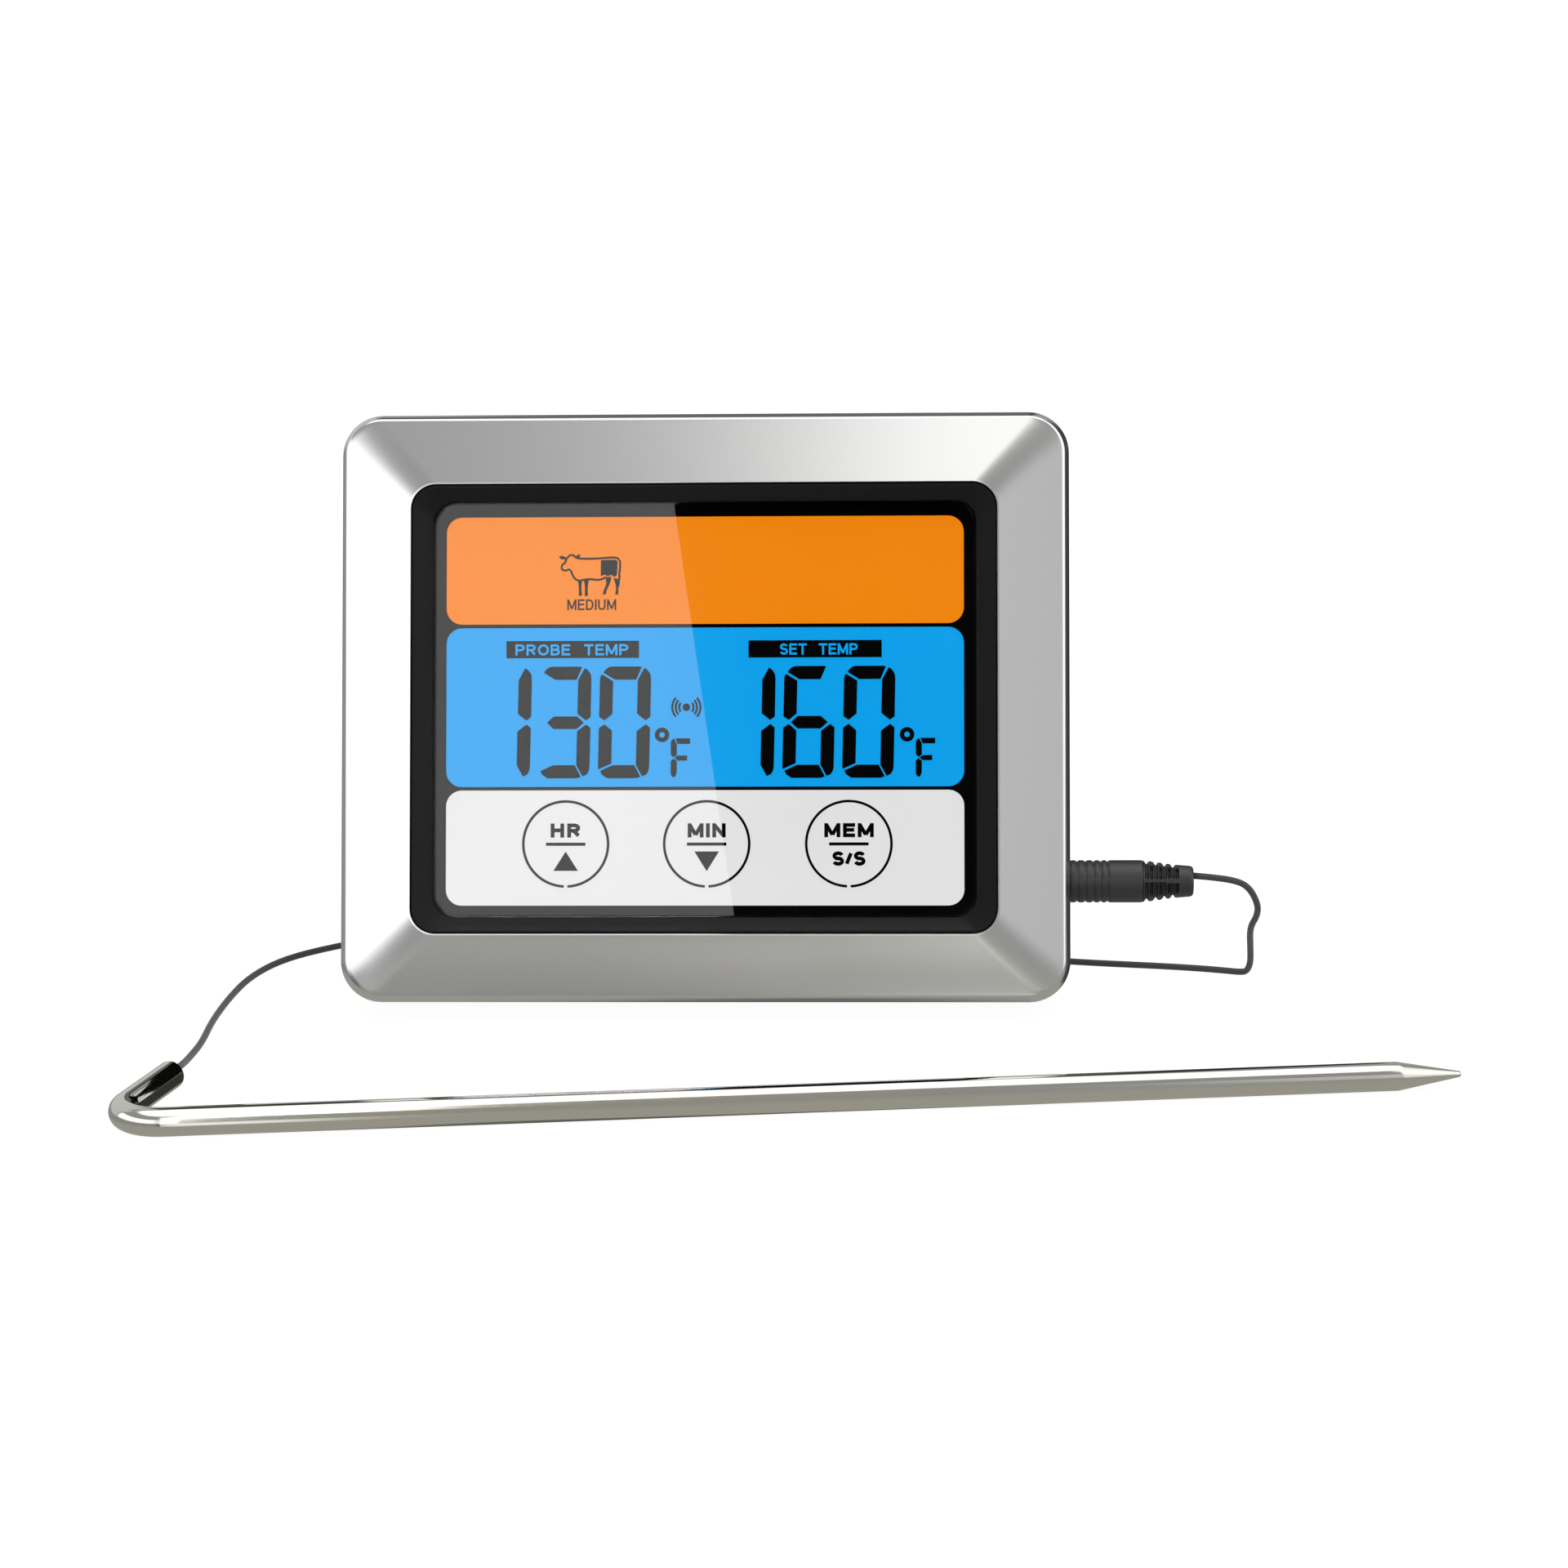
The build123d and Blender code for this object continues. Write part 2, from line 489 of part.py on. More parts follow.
# ---------------------------------------------------------------- probe, in desk axes
def make_probe():
    end = Vector(*PROBE_END, PROBE_R)
    corner = Vector(*PROBE_CORNER, PROBE_R)
    tip = Vector(*PROBE_TIP, PROBE_R)
    along = (tip - corner).normalized()
    shoulder = tip - along * PROBE_TAPER
    short = (end - corner).normalized()
    path = FilletPolyline(end, corner, shoulder, radius=PROBE_BEND_R)
    inner_path = FilletPolyline(end, corner, shoulder - along * 1.0, radius=PROBE_BEND_R)
    mouth = Plane(origin=end, z_dir=-short)
    tube = sweep(mouth * Circle(PROBE_R), path=path)
    point = Plane(origin=shoulder, z_dir=along) * Pos(0, 0, PROBE_TAPER / 2) * Cone(PROBE_R, 0.4, PROBE_TAPER)
    point = fillet(point.edges().sort_by(lambda edge: (edge.center() - tip).length)[:1], 0.3)
    tube += point
    tube -= sweep(mouth * Circle(PROBE_R - PROBE_WALL), path=inner_path)
    nodes["probe_tube"] = tube

    bore = PROBE_R - PROBE_WALL
    inside_tip = shoulder - along * 1.0
    deep = Plane(origin=inside_tip, z_dir=-along)
    nodes["thermistor"] = deep * Pos(0, 0, 3.0) * (Cylinder(0.7, 2.4) + Pos(0, 0, 1.2) * Sphere(0.7))
    nodes["tip_potting"] = deep * Pos(0, 0, 4.0) * Cylinder(bore, 8.0) - nodes["thermistor"]
    lead_start = inside_tip - along * 8.0
    leads = []
    across = Vector(-along.Y, along.X, 0)
    for side in (-0.45, 0.45):
        start = lead_start + across * side
        finish = corner + along * (PROBE_BEND_R * 2.2) + across * side
        leads.append(Solid.make_cylinder(0.2, (start - finish).length, Plane(origin=start, z_dir=-along)))
    nodes["thermistor_leads"] = Compound(leads)
    seal = mouth * Pos(0, 0, 1.0 + 1.5) * Cylinder(bore, 3.0)
    nodes["cord_seal"] = seal


def make_everything():
    make_front_frame()
    make_inner_ring()
    make_display()
    make_touch_keys()
    make_main_board()
    make_jack()
    make_buzzer()
    cover_outer = make_rear_cover()
    make_battery_door(cover_outer)
    make_batteries()
    make_switches()
    make_case_fittings()
    make_stand()
    make_plug()
    make_cord()
    make_probe()


def export_all():
    """Move the origin under the middle of the object without its cord, and write each node."""
    solid_nodes = [shape for name, shape in nodes.items() if name not in CORD_NODES]
    box = Compound(children=[Compound(shape.solids()) for shape in solid_nodes]).bounding_box()
    shift = Pos(-(box.min.X + box.max.X) / 2, -(box.min.Y + box.max.Y) / 2, -box.min.Z)
    print("origin of the row in desk axes", tuple(shift.position * -1))
    for name, shape in nodes.items():
        export_step(shift * Compound(shape.solids()), f"parts/{name}.step")
    print(len(nodes), "nodes")


make_everything()
export_all()
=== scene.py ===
"""Looks of the wired cooking thermometer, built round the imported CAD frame.

Lengths here are millimetres. Case axes: X right, Y from the front of the case to its back, Z up the case.
Desk axes: Z straight up from the table. case() and desk() turn both into metres in the row frame.
"""
import json
import math

import bmesh
import bpy
from mathutils import Matrix, Vector


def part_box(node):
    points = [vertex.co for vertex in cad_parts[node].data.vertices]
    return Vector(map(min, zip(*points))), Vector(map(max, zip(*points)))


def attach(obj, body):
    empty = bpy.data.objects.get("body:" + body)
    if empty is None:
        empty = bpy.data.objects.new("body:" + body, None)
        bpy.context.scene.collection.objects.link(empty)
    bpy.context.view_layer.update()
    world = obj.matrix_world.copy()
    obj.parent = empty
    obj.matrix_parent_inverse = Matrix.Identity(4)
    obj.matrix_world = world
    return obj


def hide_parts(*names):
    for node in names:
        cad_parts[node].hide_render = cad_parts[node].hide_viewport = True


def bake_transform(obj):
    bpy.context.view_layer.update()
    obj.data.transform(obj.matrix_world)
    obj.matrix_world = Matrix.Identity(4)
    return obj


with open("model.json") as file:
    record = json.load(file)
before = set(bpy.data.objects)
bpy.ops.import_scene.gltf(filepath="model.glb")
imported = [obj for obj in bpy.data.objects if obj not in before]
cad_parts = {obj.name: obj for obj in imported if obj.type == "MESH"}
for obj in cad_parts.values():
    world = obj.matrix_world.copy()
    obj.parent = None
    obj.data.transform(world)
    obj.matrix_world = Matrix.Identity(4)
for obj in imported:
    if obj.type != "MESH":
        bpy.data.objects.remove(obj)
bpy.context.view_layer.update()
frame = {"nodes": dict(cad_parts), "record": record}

# ---- driving dimensions
MM = 0.001
LEAN = math.radians(16.0)
CASE_W = 96.0
CASE_H = 77.6
CASE_CORNER = 5.4
SPLIT_Y = 12.0
RIM_Y = 2.3
CREST_Y = 0.6
CREST_R = 0.1
RIM_INSET = 1.0                  # from the case's outline to the edge of the sloping facets
BEVEL_INSET = 0.55
BEVEL_DEPTH = 1.03
TABLE_GAP = 0.3
RING_W = 77.0
RING_H = 59.1
DISPLAY_Z = -0.27                # the ring and the window sit a little below the middle of the case
GLASS_W = 71.4
GLASS_H = 54.7
GLASS_Y = 3.0
GLASS_BACK_Y = 3.94
PRINT_Y = (4.04, 4.1)            # black print on the window
MARK_Y = (4.0, 4.03)             # digits, words and icons
FILM_Y = (4.11, 4.2)             # coloured films behind the print
FLAG_GAP = 12.0                  # from the window to the black flag before it
PANEL_W = 68.3
PANEL_CORNER = 2.1
ORANGE_Z = (11.0, 25.2)
BLUE_Z = (-10.48, 10.52)
KEYS_Z = (-26.12, -10.93)
KEY_X = (-18.3, 0.3, 19.0)
KEY_Z = -18.0
KEY_R = 5.6
DIGIT_PITCH = 7.88
DIGITS_Z = (-9.35, 5.4)
DIGIT_LEAN = 0.022
LABEL_W = 17.55                  # black bar behind the words over each number
LABEL_Z = (6.53, 8.8)

JACK_Y = 8.0
JACK_Z = -22.9
PLUG_R = 2.8
PLUG_START_X = 48.05
GRIP_END_X = 57.7
GRIP_GROOVES = (49.0, 50.1, 51.15, 52.1, 53.0)
RELIEF_GROOVES = (58.12, 59.33, 60.48, 61.58)
RELIEF_SLOTS = (58.74, 59.93, 61.05, 62.12)
COLLAR_X = 61.85
RELIEF_END_X = 64.3
JACK_BORE_R = 2.45

PROBE_R = 1.8
PROBE_BORE_R = 1.45
PROBE_BEND_R = 5.0
PROBE_END = (-65.1, -35.95)
PROBE_CORNER = (-69.85, -55.3)
PROBE_TIP = (95.3, -35.0)
PROBE_TAPER = 8.0
PROBE_POINT_R = 0.4
PROBE_SEAM = 7.0                 # length of the lapped seam at the open end

CORD_D = 0.8
BRAID_R = 0.44                   # the braid stands a little proud of the cord's own radius
COIL_CENTRE = (8.0, 60.0)
COIL_OUTER_R = 7.6
COIL_RADIAL_TURNS = 5
COIL_LEVELS = 4
COIL_LIFT = 0.45
COIL_TURNS = 19.25
POINTS_PER_TURN = 16

LEAD_POINTS = [
    (64.3, 1.38, 17.4), (67.0, 1.38, 17.17), (70.0, 1.5, 16.66), (71.5, 1.85, 15.8), (72.5, 2.6, 14.2),
    (73.1, 3.6, 12.4), (72.95, 4.8, 10.8), (72.4, 6.1, 9.3), (72.35, 7.6, 7.7), (72.65, 10.2, 5.1),
    (72.9, 12.6, 2.2),
]
RUN_POINTS = [
    (72.5, 13.9, 0.6), (71.6, 14.3, 0.4), (69.9, 14.9, 0.4), (66.8, 15.9, 0.4), (61.0, 17.2, 0.4),
    (51.0, 18.8, 0.4), (40.0, 21.5, 0.4), (30.5, 27.5, 0.4), (22.5, 36.0, 0.4), (17.4, 45.5, 0.45),
    (15.7, 53.0, 0.8),
]
TAIL_POINTS = [
    (1.0, 67.5, 2.9), (-7.0, 66.0, 1.5), (-15.5, 61.5, 0.45), (-26.5, 52.0, 0.4), (-37.0, 41.0, 0.4),
    (-46.5, 32.2, 0.4), (-54.5, 26.6, 0.4), (-60.3, 20.4, 0.4), (-63.4, 12.0, 0.4), (-64.5, 2.0, 0.4),
    (-64.9, -9.0, 0.4), (-64.5, -18.0, 0.4), (-64.9, -25.0, 0.5), (-64.8, -30.0, 1.2), (-64.9, -33.5, 1.75),
    (-65.2, -36.2, 1.8),
]

# ---- places
PANEL_CENTRE = (0.0, 5.275, 7.6)         # middle of the lcd_panel node, case axes


def turned(x, y, z):
    """Case direction as a desk direction."""
    return Vector((x, y * math.cos(LEAN) + z * math.sin(LEAN), z * math.cos(LEAN) - y * math.sin(LEAN)))


PANEL_LOW, PANEL_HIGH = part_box("lcd_panel")
CASE_ORIGIN = (PANEL_LOW + PANEL_HIGH) / 2 - turned(*PANEL_CENTRE) * MM
CASE_RISE = SPLIT_Y * math.sin(LEAN) + CASE_H / 2 * math.cos(LEAN) + TABLE_GAP
DESK_ORIGIN = CASE_ORIGIN - Vector((0, 0, CASE_RISE * MM))


def case(x, y, z):
    return CASE_ORIGIN + turned(x, y, z) * MM


def desk(x, y, z):
    return DESK_ORIGIN + Vector((x, y, z)) * MM


# ---- mesh helpers
def sharpen(mesh, degrees):
    """Mark the edges that turn by more than an angle as sharp."""
    for edge in mesh.edges:
        if len(edge.link_faces) == 2 and edge.calc_face_angle() > math.radians(degrees):
            edge.smooth = False


def add_object(name, data):
    thing = bpy.data.objects.new(name, data)
    bpy.context.scene.collection.objects.link(thing)
    return thing


def make_piece(name, part, slot, body="root", replaces=(), smooth=True, sharp=35, finish=None):
    """Object from (verts, faces). It rides with its body; one that takes no body is a mere tool."""
    verts, faces = part
    mesh = bpy.data.meshes.new(name)
    mesh.from_pydata([tuple(v) for v in verts], [], faces)
    tidy = bmesh.new()
    tidy.from_mesh(mesh)
    bmesh.ops.remove_doubles(tidy, verts=tidy.verts, dist=1e-7)
    bmesh.ops.recalc_face_normals(tidy, faces=tidy.faces)
    sharpen(tidy, sharp)
    for face in tidy.faces:
        face.smooth = smooth
    tidy.to_mesh(mesh)
    tidy.free()
    mesh.materials.append(finish or FINISHES[slot])
    piece = add_object(name, mesh)
    if body:
        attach(piece, body)
        if replaces:
            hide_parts(*replaces)
    return piece


def merged(parts):
    """Verts and faces of several (verts, faces) as one."""
    verts, faces = [], []
    for part_verts, part_faces in parts:
        start = len(verts)
        verts += part_verts
        faces += [tuple(start + i for i in face) for face in part_faces]
    return verts, faces


def skin(rings, closed=False, caps=(True, True)):
    """Verts and faces through rings of equally many points. closed joins the last ring to the first."""
    count = len(rings[0])
    verts = [point for ring in rings for point in ring]
    faces = []
    pairs = len(rings) if closed else len(rings) - 1
    for r in range(pairs):
        here = r * count
        there = (r + 1) % len(rings) * count
        for k in range(count):
            after = (k + 1) % count
            faces.append((here + k, here + after, there + after, there + k))
    if not closed and caps[0]:
        faces.append(tuple(reversed(range(count))))
    if not closed and caps[1]:
        faces.append(tuple(range(len(verts) - count, len(verts))))
    return verts, faces


def rounded_outline(width, height, corner, x=0.0, z=0.0, steps=12):
    """Points (x, z) round a rounded rectangle."""
    points = []
    for right, up, start in ((1, 1, 0), (-1, 1, 90), (-1, -1, 180), (1, -1, 270)):
        for k in range(steps + 1):
            angle = math.radians(start + 90 * k / steps)
            points.append((x + right * (width / 2 - corner) + corner * math.cos(angle),
                           z + up * (height / 2 - corner) + corner * math.sin(angle)))
    return points


def case_ring(width, height, corner, y, z=0.0):
    return [case(px, y, pz) for px, pz in rounded_outline(width, height, corner, 0.0, z)]


def circle_outline(radius, x=0.0, z=0.0, start=0.0, sweep=360.0, steps=48):
    count = steps if sweep == 360.0 else steps + 1
    angles = [math.radians(start + sweep * k / steps) for k in range(count)]
    return [(x + radius * math.cos(a), z + radius * math.sin(a)) for a in angles]


def arc_band(radius, width, x, z, start, sweep, steps):
    """Outline of a curved stroke."""
    outer = circle_outline(radius + width / 2, x, z, start, sweep, steps)
    inner = circle_outline(radius - width / 2, x, z, start, sweep, steps)
    return outer + inner[::-1]


def stroke(points, width, y_range):
    """Verts and faces of a thin flat line of the given width along points (x, z)."""
    rings = []
    for k, point in enumerate(points):
        before = Vector(points[max(k - 1, 0)])
        after = Vector(points[min(k + 1, len(points) - 1)])
        along = (after - before).normalized()
        across = Vector((-along.y, along.x)) * width / 2
        left, right = Vector(point) + across, Vector(point) - across
        front, back = y_range
        corners = ((left, front), (right, front), (right, back), (left, back))
        rings.append([case(corner.x, y, corner.y) for corner, y in corners])
    return skin(rings)


def mesh_of(curve):
    holder = bpy.data.objects.new("holder", curve)
    mesh = bpy.data.meshes.new_from_object(holder)
    verts = [v.co.copy() for v in mesh.vertices]
    faces = [tuple(p.vertices) for p in mesh.polygons]
    bpy.data.objects.remove(holder)
    bpy.data.meshes.remove(mesh)
    bpy.data.curves.remove(curve)
    return verts, faces


def set_in_case(flat, y_range):
    """Verts drawn in a plane, x and z in mm with their depth in w, placed between two case depths."""
    verts, faces = flat
    middle = (y_range[0] + y_range[1]) / 2
    return [case(v.x, middle - v.z, v.y) for v in verts], faces


def filled(outlines, y_range):
    """Thin solid of flat outlines (x, z). An outline inside another is a hole."""
    curve = bpy.data.curves.new("outline", "CURVE")
    curve.dimensions = "2D"
    curve.fill_mode = "BOTH"
    curve.extrude = (y_range[1] - y_range[0]) / 2
    for outline in outlines:
        spline = curve.splines.new("POLY")
        spline.points.add(len(outline) - 1)
        for point, (x, z) in zip(spline.points, outline):
            point.co = (x, z, 0, 1)
        spline.use_cyclic_u = True
    return set_in_case(mesh_of(curve), y_range)


def bow(x, z, rx, rz, start, end, steps=12):
    """Points of an arc in a letter."""
    angles = [math.radians(start + (end - start) * k / steps) for k in range(steps + 1)]
    return [(x + rx * math.cos(a), z + rz * math.sin(a)) for a in angles]


BOWL = [(0, 1), (0.36, 1)] + bow(0.36, 0.74, 0.3, 0.26, 80, -80) + [(0.36, 0.48), (0, 0.48)]
UPPER_BOWL = [(0, 1), (0.34, 1)] + bow(0.34, 0.76, 0.27, 0.24, 80, -80) + [(0.34, 0.52), (0, 0.52)]
LOWER_BOWL = [(0, 0.52), (0.36, 0.52)] + bow(0.36, 0.26, 0.3, 0.26, 80, -80) + [(0.36, 0), (0, 0)]
FULL_BOWL = [(0, 1), (0.3, 1)] + bow(0.3, 0.5, 0.4, 0.5, 80, -80) + [(0.3, 0), (0, 0)]
LETTERS = {      # width of each letter for a height of 1, and its lines
    " ": (0.2, []),
    "/": (0.34, [[(0, 0), (0.34, 1)]]),
    "B": (0.66, [[(0, 0), (0, 1)], UPPER_BOWL, LOWER_BOWL]),
    "D": (0.7, [[(0, 0), (0, 1)], FULL_BOWL]),
    "E": (0.6, [[(0, 0), (0, 1)], [(0, 1), (0.6, 1)], [(0, 0.53), (0.54, 0.53)], [(0, 0), (0.6, 0)]]),
    "H": (0.7, [[(0, 0), (0, 1)], [(0.7, 0), (0.7, 1)], [(0, 0.52), (0.7, 0.52)]]),
    "I": (0.0, [[(0, 0), (0, 1)]]),
    "M": (0.88, [[(0, 0), (0, 1)], [(0.03, 1), (0.44, 0.06)], [(0.85, 1), (0.44, 0.06)],
                 [(0.88, 0), (0.88, 1)]]),
    "N": (0.7, [[(0, 0), (0, 1)], [(0.03, 1), (0.67, 0)], [(0.7, 0), (0.7, 1)]]),
    "O": (0.82, [bow(0.41, 0.5, 0.41, 0.5, 0, 375, 32)]),
    "P": (0.66, [[(0, 0), (0, 1)], BOWL]),
    "R": (0.7, [[(0, 0), (0, 1)], BOWL, [(0.34, 0.46), (0.68, 0)]]),
    "S": (0.64, [bow(0.32, 0.75, 0.3, 0.25, 15, 265) + bow(0.32, 0.25, 0.32, 0.26, 85, -165)]),
    "T": (0.68, [[(0, 1), (0.68, 1)], [(0.34, 0), (0.34, 1)]]),
    "U": (0.7, [[(0, 1), (0, 0.32)] + bow(0.35, 0.32, 0.35, 0.32, 190, 350) + [(0.7, 0.32), (0.7, 1)]]),
}


def words(text, x_range, z_range, y_range, weight, spacing=0.36):
    """Plain drawn letters that fill a box, with lines of the given weight."""
    width = sum(LETTERS[letter][0] for letter in text) + spacing * (len(text) - 1)
    wide = (x_range[1] - x_range[0] - weight) / width
    high = z_range[1] - z_range[0] - weight
    x0, z0 = x_range[0] + weight / 2, z_range[0] + weight / 2
    parts = []
    for letter in text:
        for line in LETTERS[letter][1]:
            points = [Vector((x0 + x * wide, z0 + z * high)) for x, z in line]
            for end, beside in ((0, 1), (-1, -2)):
                step = points[end] - points[beside]
                if min(abs(step.x), abs(step.y)) < 1e-6:
                    points[end] = points[end] + step.normalized() * weight / 2
            parts.append(stroke(points, weight, y_range))
        x0 += (LETTERS[letter][0] + spacing) * wide
    return merged(parts)


def tube(points, radius, sides):
    """Verts and faces of a round tube along points, turning as little as it can."""
    rings = []
    normal = None
    for k, point in enumerate(points):
        along = (points[min(k + 1, len(points) - 1)] - points[max(k - 1, 0)]).normalized()
        if normal is None:
            normal = along.orthogonal().normalized()
        normal = (normal - along * normal.dot(along)).normalized()
        across = along.cross(normal)
        angles = [2 * math.pi * i / sides for i in range(sides)]
        rings.append([point + (normal * math.cos(a) + across * math.sin(a)) * radius for a in angles])
    return skin(rings)


# ---- finishes
class Nodes:
    """Short names for building a node tree."""

    def __init__(self, tree):
        self.tree = tree

    def add(self, kind, **inputs):
        node = self.tree.nodes.new(kind)
        self.fill(node, **inputs)
        return node

    def fill(self, node, **inputs):
        for key, value in inputs.items():
            self.put(node.inputs[key.replace("_", " ")], value)

    def put(self, socket, value):
        if isinstance(value, bpy.types.NodeSocket):
            self.tree.links.new(value, socket)
        else:
            socket.default_value = value

    def math(self, operation, a, b=0.0):
        node = self.tree.nodes.new("ShaderNodeMath")
        node.operation = operation
        self.put(node.inputs[0], a)
        self.put(node.inputs[1], b)
        return node.outputs[0]

    def spread(self, value, low, high, to_low=0.0, to_high=1.0, kind="SMOOTHSTEP"):
        node = self.tree.nodes.new("ShaderNodeMapRange")
        node.interpolation_type = kind
        for socket, number in zip(node.inputs, (value, low, high, to_low, to_high)):
            self.put(socket, number)
        return node.outputs[0]

    def noise(self, vector, scale, detail):
        node = self.add("ShaderNodeTexNoise", Vector=vector, Scale=scale, Detail=detail, Roughness=0.55)
        return node.outputs["Fac"]

    def place(self):
        return self.tree.nodes.new("ShaderNodeTexCoord").outputs["Object"]

    def blend(self, share, a, b):
        """Colour between a and b."""
        node = self.tree.nodes.new("ShaderNodeMix")
        node.data_type = "RGBA"
        self.put(node.inputs[0], share)
        self.put(node.inputs[6], a)
        self.put(node.inputs[7], b)
        return node.outputs[2]


def new_material(name):
    """A material, its node builder and its Principled shader."""
    material = bpy.data.materials.new(name)
    material.use_nodes = True
    return material, Nodes(material.node_tree), material.node_tree.nodes["Principled BSDF"]


def shade(color, factor):
    return tuple(min(1.0, c * factor) for c in color[:3]) + (1.0,)


def finish(name, color, roughness, metallic=0.0, grain=0.3, variation=0.12, bump=0.006,
           stretch=(1, 1, 1), rough_spread=0.06, broad_share=0.35, **shader_inputs):
    """Principled material whose colour, roughness and surface vary with a fine grain. Lengths are mm."""
    material, nodes, shader = new_material(name)
    place = nodes.add("ShaderNodeMapping", Vector=nodes.place(), Scale=stretch).outputs[0]
    fine = nodes.noise(place, 1 / (grain * MM), 4.0)
    broad = nodes.noise(place, 1 / (grain * 24 * MM), 2.0)
    mixed = nodes.math("ADD", nodes.math("MULTIPLY", fine, 1 - broad_share),
                       nodes.math("MULTIPLY", broad, broad_share))
    even = nodes.spread(mixed, 0.3, 0.7, kind="LINEAR")
    least, most = max(0.02, roughness - rough_spread), roughness + rough_spread
    relief = nodes.add("ShaderNodeBump", Height=fine, Strength=1.0, Distance=bump * MM)
    nodes.fill(shader, Base_Color=nodes.blend(even, shade(color, 1 - variation), shade(color, 1 + variation)),
               Roughness=nodes.spread(mixed, 0.3, 0.7, least, most, "LINEAR"), Metallic=metallic,
               Normal=relief.outputs[0], **shader_inputs)
    return material


def painted_glow_film(name, color, emission, share):
    """Display film given a painted glow in place of the light falling on it, with a slight random unevenness
    of that glow.
    """
    material, nodes, shader = new_material(name)
    cloud = nodes.noise(nodes.place(), 60.0, 2.0)
    uneven = nodes.spread(cloud, 0.3, 0.7, kind="LINEAR")
    nodes.fill(shader, Base_Color=nodes.blend(uneven, shade(color, share * 0.97), shade(color, share * 1.03)),
               Emission_Color=nodes.blend(uneven, shade(color, 0.985), shade(color, 1.0)),
               Emission_Strength=emission, Roughness=0.55, Specular_IOR_Level=0.2)
    return material


def window_glass():
    """Clear glass that lets the studio's lamps reach the display behind it."""
    material, nodes, shader = new_material("window_glass")
    nodes.fill(shader, Base_Color=(1, 1, 1, 1), Roughness=0.0, IOR=1.5, Transmission_Weight=1.0)
    clear = nodes.add("ShaderNodeBsdfTransparent")
    mix = nodes.add("ShaderNodeMixShader")
    path = nodes.add("ShaderNodeLightPath")
    nodes.put(mix.inputs[0], path.outputs["Is Shadow Ray"])
    nodes.put(mix.inputs[1], shader.outputs[0])
    nodes.put(mix.inputs[2], clear.outputs[0])
    nodes.put(material.node_tree.nodes["Material Output"].inputs["Surface"], mix.outputs[0])
    return material


def braid():
    """Fine braid of the cord: crossing strands, from the tube's own around and along values. Its colour is
    darker in the hollows of the weave as painted shade, and varies at random with the fuzz.
    """
    material, nodes, shader = new_material("braid")
    strands, lay_length = 8, 0.42           # each way round, and in cord diameters
    around = nodes.add("ShaderNodeAttribute")
    around.attribute_name = "around"
    along = nodes.add("ShaderNodeAttribute")
    along.attribute_name = "along"
    waves = []
    for turn in (1, -1):
        twist = nodes.math("MULTIPLY", around.outputs["Fac"], turn * strands * 2 * math.pi)
        lay = nodes.math("MULTIPLY", along.outputs["Fac"], 2 * math.pi / lay_length)
        waves.append(nodes.math("SINE", nodes.math("ADD", twist, lay)))
    weave = nodes.math("MAXIMUM", waves[0], waves[1])
    fuzz = nodes.noise(nodes.place(), 1 / (0.12 * MM), 3.0)
    height = nodes.math("ADD", nodes.math("MULTIPLY", weave, 0.6), nodes.math("MULTIPLY", fuzz, 0.8))
    # painted shade: the low parts of the weave are coloured darker and the raised strands lighter
    light = nodes.spread(height, -0.2, 1.2, kind="LINEAR")
    relief = nodes.add("ShaderNodeBump", Height=height, Strength=0.8, Distance=0.02 * MM)
    nodes.fill(shader, Base_Color=nodes.blend(light, (0.014, 0.014, 0.0145, 1), (0.036, 0.036, 0.037, 1)),
               Roughness=0.72, Sheen_Weight=0.2, Normal=relief.outputs[0])
    return material


PLAIN_FINISHES = {      # colour, roughness, metallic, grain, variation, bump
    "grey_plastic": ((0.036, 0.037, 0.039), 0.55, 0, 0.35, 0.16, 0.02),
    "black_plastic": ((0.016, 0.016, 0.017), 0.5, 0, 0.3, 0.15, 0.012),
    "black_rubber": ((0.02, 0.02, 0.02), 0.85, 0, 0.25, 0.2, 0.012),
    "slider_plastic": ((0.3, 0.3, 0.3), 0.45, 0, 0.25, 0.08, 0.008),
    "white_plastic": ((0.75, 0.75, 0.73), 0.45, 0, 0.3, 0.05, 0.006),
    "white_sheet": ((0.8, 0.8, 0.8), 0.4, 0, 0.3, 0.04, 0.003),
    "clear_acrylic": ((0.85, 0.87, 0.88), 0.15, 0, 0.4, 0.04, 0.001),
    "display_glass": ((0.3, 0.33, 0.3), 0.12, 0, 0.3, 0.06, 0.0005),
    "board_green": ((0.02, 0.13, 0.05), 0.35, 0, 0.7, 0.3, 0.01),
    "copper_pads": ((0.8, 0.42, 0.22), 0.3, 1, 0.12, 0.12, 0.002),
    "screw_steel": ((0.58, 0.58, 0.57), 0.3, 1, 0.12, 0.12, 0.003),
    "nickel_contact": ((0.66, 0.62, 0.56), 0.22, 1, 0.14, 0.08, 0.002),
    "magnet_nickel": ((0.6, 0.6, 0.6), 0.16, 1, 0.3, 0.06, 0.002),
    "black_epoxy": ((0.012, 0.012, 0.012), 0.28, 0, 0.8, 0.2, 0.03),
    "wire_red": ((0.45, 0.02, 0.02), 0.45, 0, 0.25, 0.12, 0.004),
    "cell_jacket": ((0.05, 0.09, 0.16), 0.3, 0.3, 0.4, 0.1, 0.002),
    "tie_plastic": ((0.02, 0.02, 0.02), 0.5, 0, 0.2, 0.15, 0.006),
}
